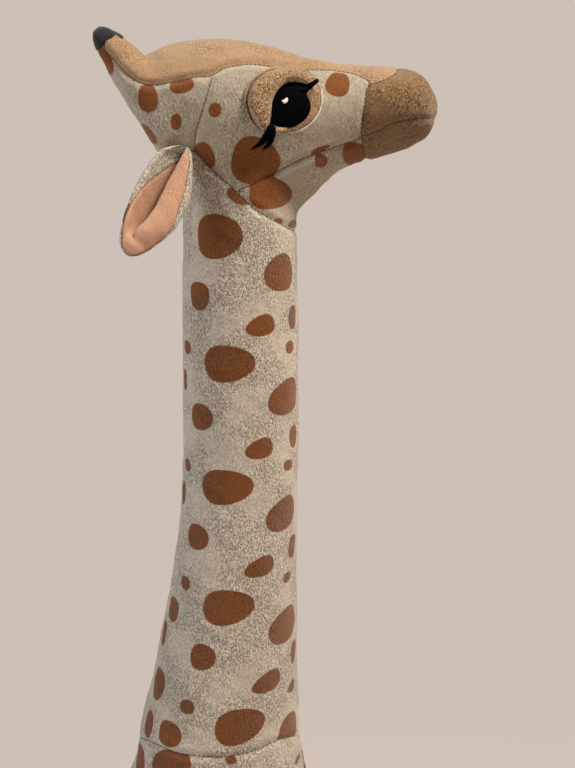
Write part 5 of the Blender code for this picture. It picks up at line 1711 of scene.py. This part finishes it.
class GIRAFFE_OT_horn_tips(GiraffeOperator, bpy.types.Operator):
    """Cap the horns in black felt"""

    bl_idname = "giraffe.horn_tips"
    bl_label = "Horn tips"

    def execute(self, context):
        black = felt("black_horn_felt", FELT_BLACK, sheen=0.35)
        for word, side in RIGHT_AND_LEFT:
            start = 1 - HORN_TIP_LENGTH / HORN_LENGTH
            rings = [ring for ring, (along, _) in zip(horn_rings(side, -0.0003), through(HORN_shares, 16))
                     if along > start - 0.02]
            centre, one, other = rings[0]
            rings.insert(0, (centre - (rings[1][0] - centre) * 0.2, one * 0.9, other * 0.9))
            tip = turned_piece("horn_tip_skin_" + word, rings, 32)
            subdivided(tip)
            dress(tip, "head", "black_felt", black, "horn_tip_" + word, fill=0.7)
        return {"FINISHED"}


class GIRAFFE_OT_hooves(GiraffeOperator, bpy.types.Operator):
    """Stuff the four hooves and lay their flat soles"""

    bl_idname = "giraffe.hooves"
    bl_label = "Hooves and soles"

    def execute(self, context):
        brown = velour("brown_hoof_velour", context.scene.giraffe_colours.brown, BROWN[1])
        sole_cloth = felt("brown_sole_felt", "#5a3a22", sheen=0.2)
        for place, foot_x, _ in LEGS:
            for word, side in RIGHT_AND_LEFT:
                foot = Vector((foot_x, side * FOOT_Y, 0))
                rings = []
                for height, radius in through(HOOF_shares, 18):
                    reach = HOOF_RADIUS * radius - 0.0008
                    level = SOLE_THICKNESS * 0.6 + (HOOF_HEIGHT - SOLE_THICKNESS * 0.6) * height
                    rings.append((foot + UP * level, FORWARD * reach, SIDE * reach))
                hoof = turned_piece(f"{place}_hoof_skin_{word}", rings)
                stuffed(hoof, 0.004, 0.0012)
                dress(hoof, "torso", "brown_plush", brown, f"{place}_hoof_{word}", fill=0.7)
                bm = bmesh.new()
                bmesh.ops.create_cone(bm, cap_ends=True, segments=64, radius1=SOLE_RADIUS,
                                      radius2=SOLE_RADIUS, depth=SOLE_THICKNESS)
                bmesh.ops.translate(bm, verts=bm.verts, vec=foot + UP * SOLE_THICKNESS / 2)
                rims = [edge for edge in bm.edges if len(edge.link_faces) == 2
                        and edge.calc_face_angle(0) > 1.0]
                bmesh.ops.bevel(bm, geom=rims, offset=0.0008, affect="EDGES", segments=3, profile=0.5,
                                material=-1)
                sole = mesh_object(bm, f"{place}_sole_felt_{word}")
                sole.data.set_sharp_from_angle(angle=math.radians(50))
                dress(sole, "torso", "brown_plush", sole_cloth, f"{place}_sole_{word}")
        return {"FINISHED"}


class GIRAFFE_OT_tail(GiraffeOperator, bpy.types.Operator):
    """Make the stuffed tail and its tuft"""

    bl_idname = "giraffe.tail"
    bl_label = "Tail and tuft"

    def execute(self, context):
        low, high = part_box("tail")
        tuft_low, tuft_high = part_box("tail_tuft")
        root = Vector((high[0] + 0.006, 0, high[2] - TAIL_RADIUS * 1.4))
        end = Vector(((tuft_low[0] + tuft_high[0]) / 2 + 0.001, 0, tuft_high[2]))
        elbow = Vector((low[0] + TAIL_RADIUS, 0, high[2] - TAIL_RADIUS * 1.05))
        below = Vector((low[0] + TAIL_RADIUS * 1.02, 0, high[2] - 0.045))
        path = through([root, elbow, below, end], 34)
        last = len(path) - 1
        rings = []
        for index, point in enumerate(path):
            way = Vector(path[min(index + 1, last)] - path[max(index - 1, 0)]).normalized()
            reach = TAIL_RADIUS * (1.0 - 0.18 * index / last)
            rings.append((Vector(point), way.cross(SIDE).normalized() * reach, SIDE * reach))
        tail = turned_piece("tail_skin", rings, 24)
        stuffed(tail, 0.0025, 0.0006)
        points = points_of(tail.data)
        spots = spot_depth(points[:, 2] * 1000 - 560, points[:, 1] * 1000, TAIL_SPOT_MM)
        set_values(tail.data, "spot", spots)
        for name, value in (("edge", 30), ("crown", -30), ("muzzle", -30), ("seam", 30), ("ring", 30)):
            set_values(tail.data, name, np.full(len(points), float(value)))
        cream = bpy.data.materials["printed_cream_velour"]
        dress(tail, "tail", "cream_plush", cream, "tail", fill=0.7)
        # Each strand of the tuft is a tapered lock of pile cloth, sewn in round the tail's end
        brown = velour("brown_tuft_velour", context.scene.giraffe_colours.brown, BROWN[1], fleck=1.2)
        top = Vector((end.x, 0, tuft_high[2]))
        down = tuft_high[2] - tuft_low[2]
        bm = bmesh.new()
        rings = []
        for share, radius in through(TUFT_shares, 20):
            reach = radius * TUFT_RADIUS
            rings.append((top - UP * share * down, FORWARD * reach, SIDE * reach))
        sweep(bm, rings, 24)
        for lock in range(TUFT_LOCKS):
            turn = lock * GOLDEN_TURN
            rank = (lock + 0.5) / TUFT_LOCKS
            spread = TUFT_RADIUS * (0.35 + 0.60 * math.sqrt(rank))
            long = down * (0.98 - 0.30 * rank * (0.6 + 0.4 * math.sin(lock * 5.1)))
            out = Vector((math.cos(turn), math.sin(turn), 0))
            rings = []
            for step in range(7):
                share = step / 6
                bulge = math.sin(math.pi * (0.18 + 0.74 * share))
                centre = top + out * spread * bulge - UP * long * share
                reach = 0.0022 * (1 - share * 0.85) + 0.0004
                rings.append((centre, out * reach * 0.8, out.cross(UP) * reach))
            sweep(bm, rings, 8)
        tuft = mesh_object(bm, "tail_tuft_locks")
        dress(tuft, "tail", "brown_plush", brown, "tail_tuft", fill=0.4)
        return {"FINISHED"}


class GIRAFFE_OT_wires(GiraffeOperator, bpy.types.Operator):
    """Finish the steel wires inside the skins"""

    bl_idname = "giraffe.wires"
    bl_label = "Frame wires"

    def execute(self, context):
        steel = drawn_steel("drawn_spring_steel")
        for name in ("front_leg_frame", "rear_leg_frame", "spine_wire", "lower_neck_wire",
                     "upper_neck_wire", "head_wire"):
            wire = frame["nodes"][name]
            if not wire.material_slots:
                wire.data.materials.append(steel)
            for slot in wire.material_slots:
                slot.material = steel
        return {"FINISHED"}


class GIRAFFE_PT_panel(bpy.types.Panel):
    """Shows the giraffe's sizes, colours and operators in the 3D view's sidebar"""

    bl_idname = "GIRAFFE_PT_panel"
    bl_label = "Plush giraffe"
    bl_space_type = "VIEW_3D"
    bl_region_type = "UI"
    bl_category = "Giraffe"

    def draw(self, context):
        for group in (context.scene.giraffe_sizes, context.scene.giraffe_colours):
            box = self.layout.box()
            for name in group.bl_rna.properties.keys():
                if name not in ("rna_type", "name"):
                    box.prop(group, name)
        for operator in OPERATORS:
            self.layout.operator(operator.bl_idname)


OPERATORS = (
    GIRAFFE_OT_stage,
    GIRAFFE_OT_hide,
    GIRAFFE_OT_eyes,
    GIRAFFE_OT_ears,
    GIRAFFE_OT_horn_tips,
    GIRAFFE_OT_hooves,
    GIRAFFE_OT_tail,
    GIRAFFE_OT_wires,
)
CLASSES = (GiraffeSizes, GiraffeColours, *OPERATORS, GIRAFFE_PT_panel)


def register():
    for item in CLASSES:
        bpy.utils.register_class(item)
    bpy.types.Scene.giraffe_sizes = bpy.props.PointerProperty(type=GiraffeSizes)
    bpy.types.Scene.giraffe_colours = bpy.props.PointerProperty(type=GiraffeColours)


def unregister():
    del bpy.types.Scene.giraffe_colours
    del bpy.types.Scene.giraffe_sizes
    for item in reversed(CLASSES):
        bpy.utils.unregister_class(item)


def main():
    register()
    for name in ("stage", "hide", "eyes", "ears", "horn_tips", "hooves", "tail", "wires"):
        getattr(bpy.ops.giraffe, name)()


if __name__ == "__main__":
    main()
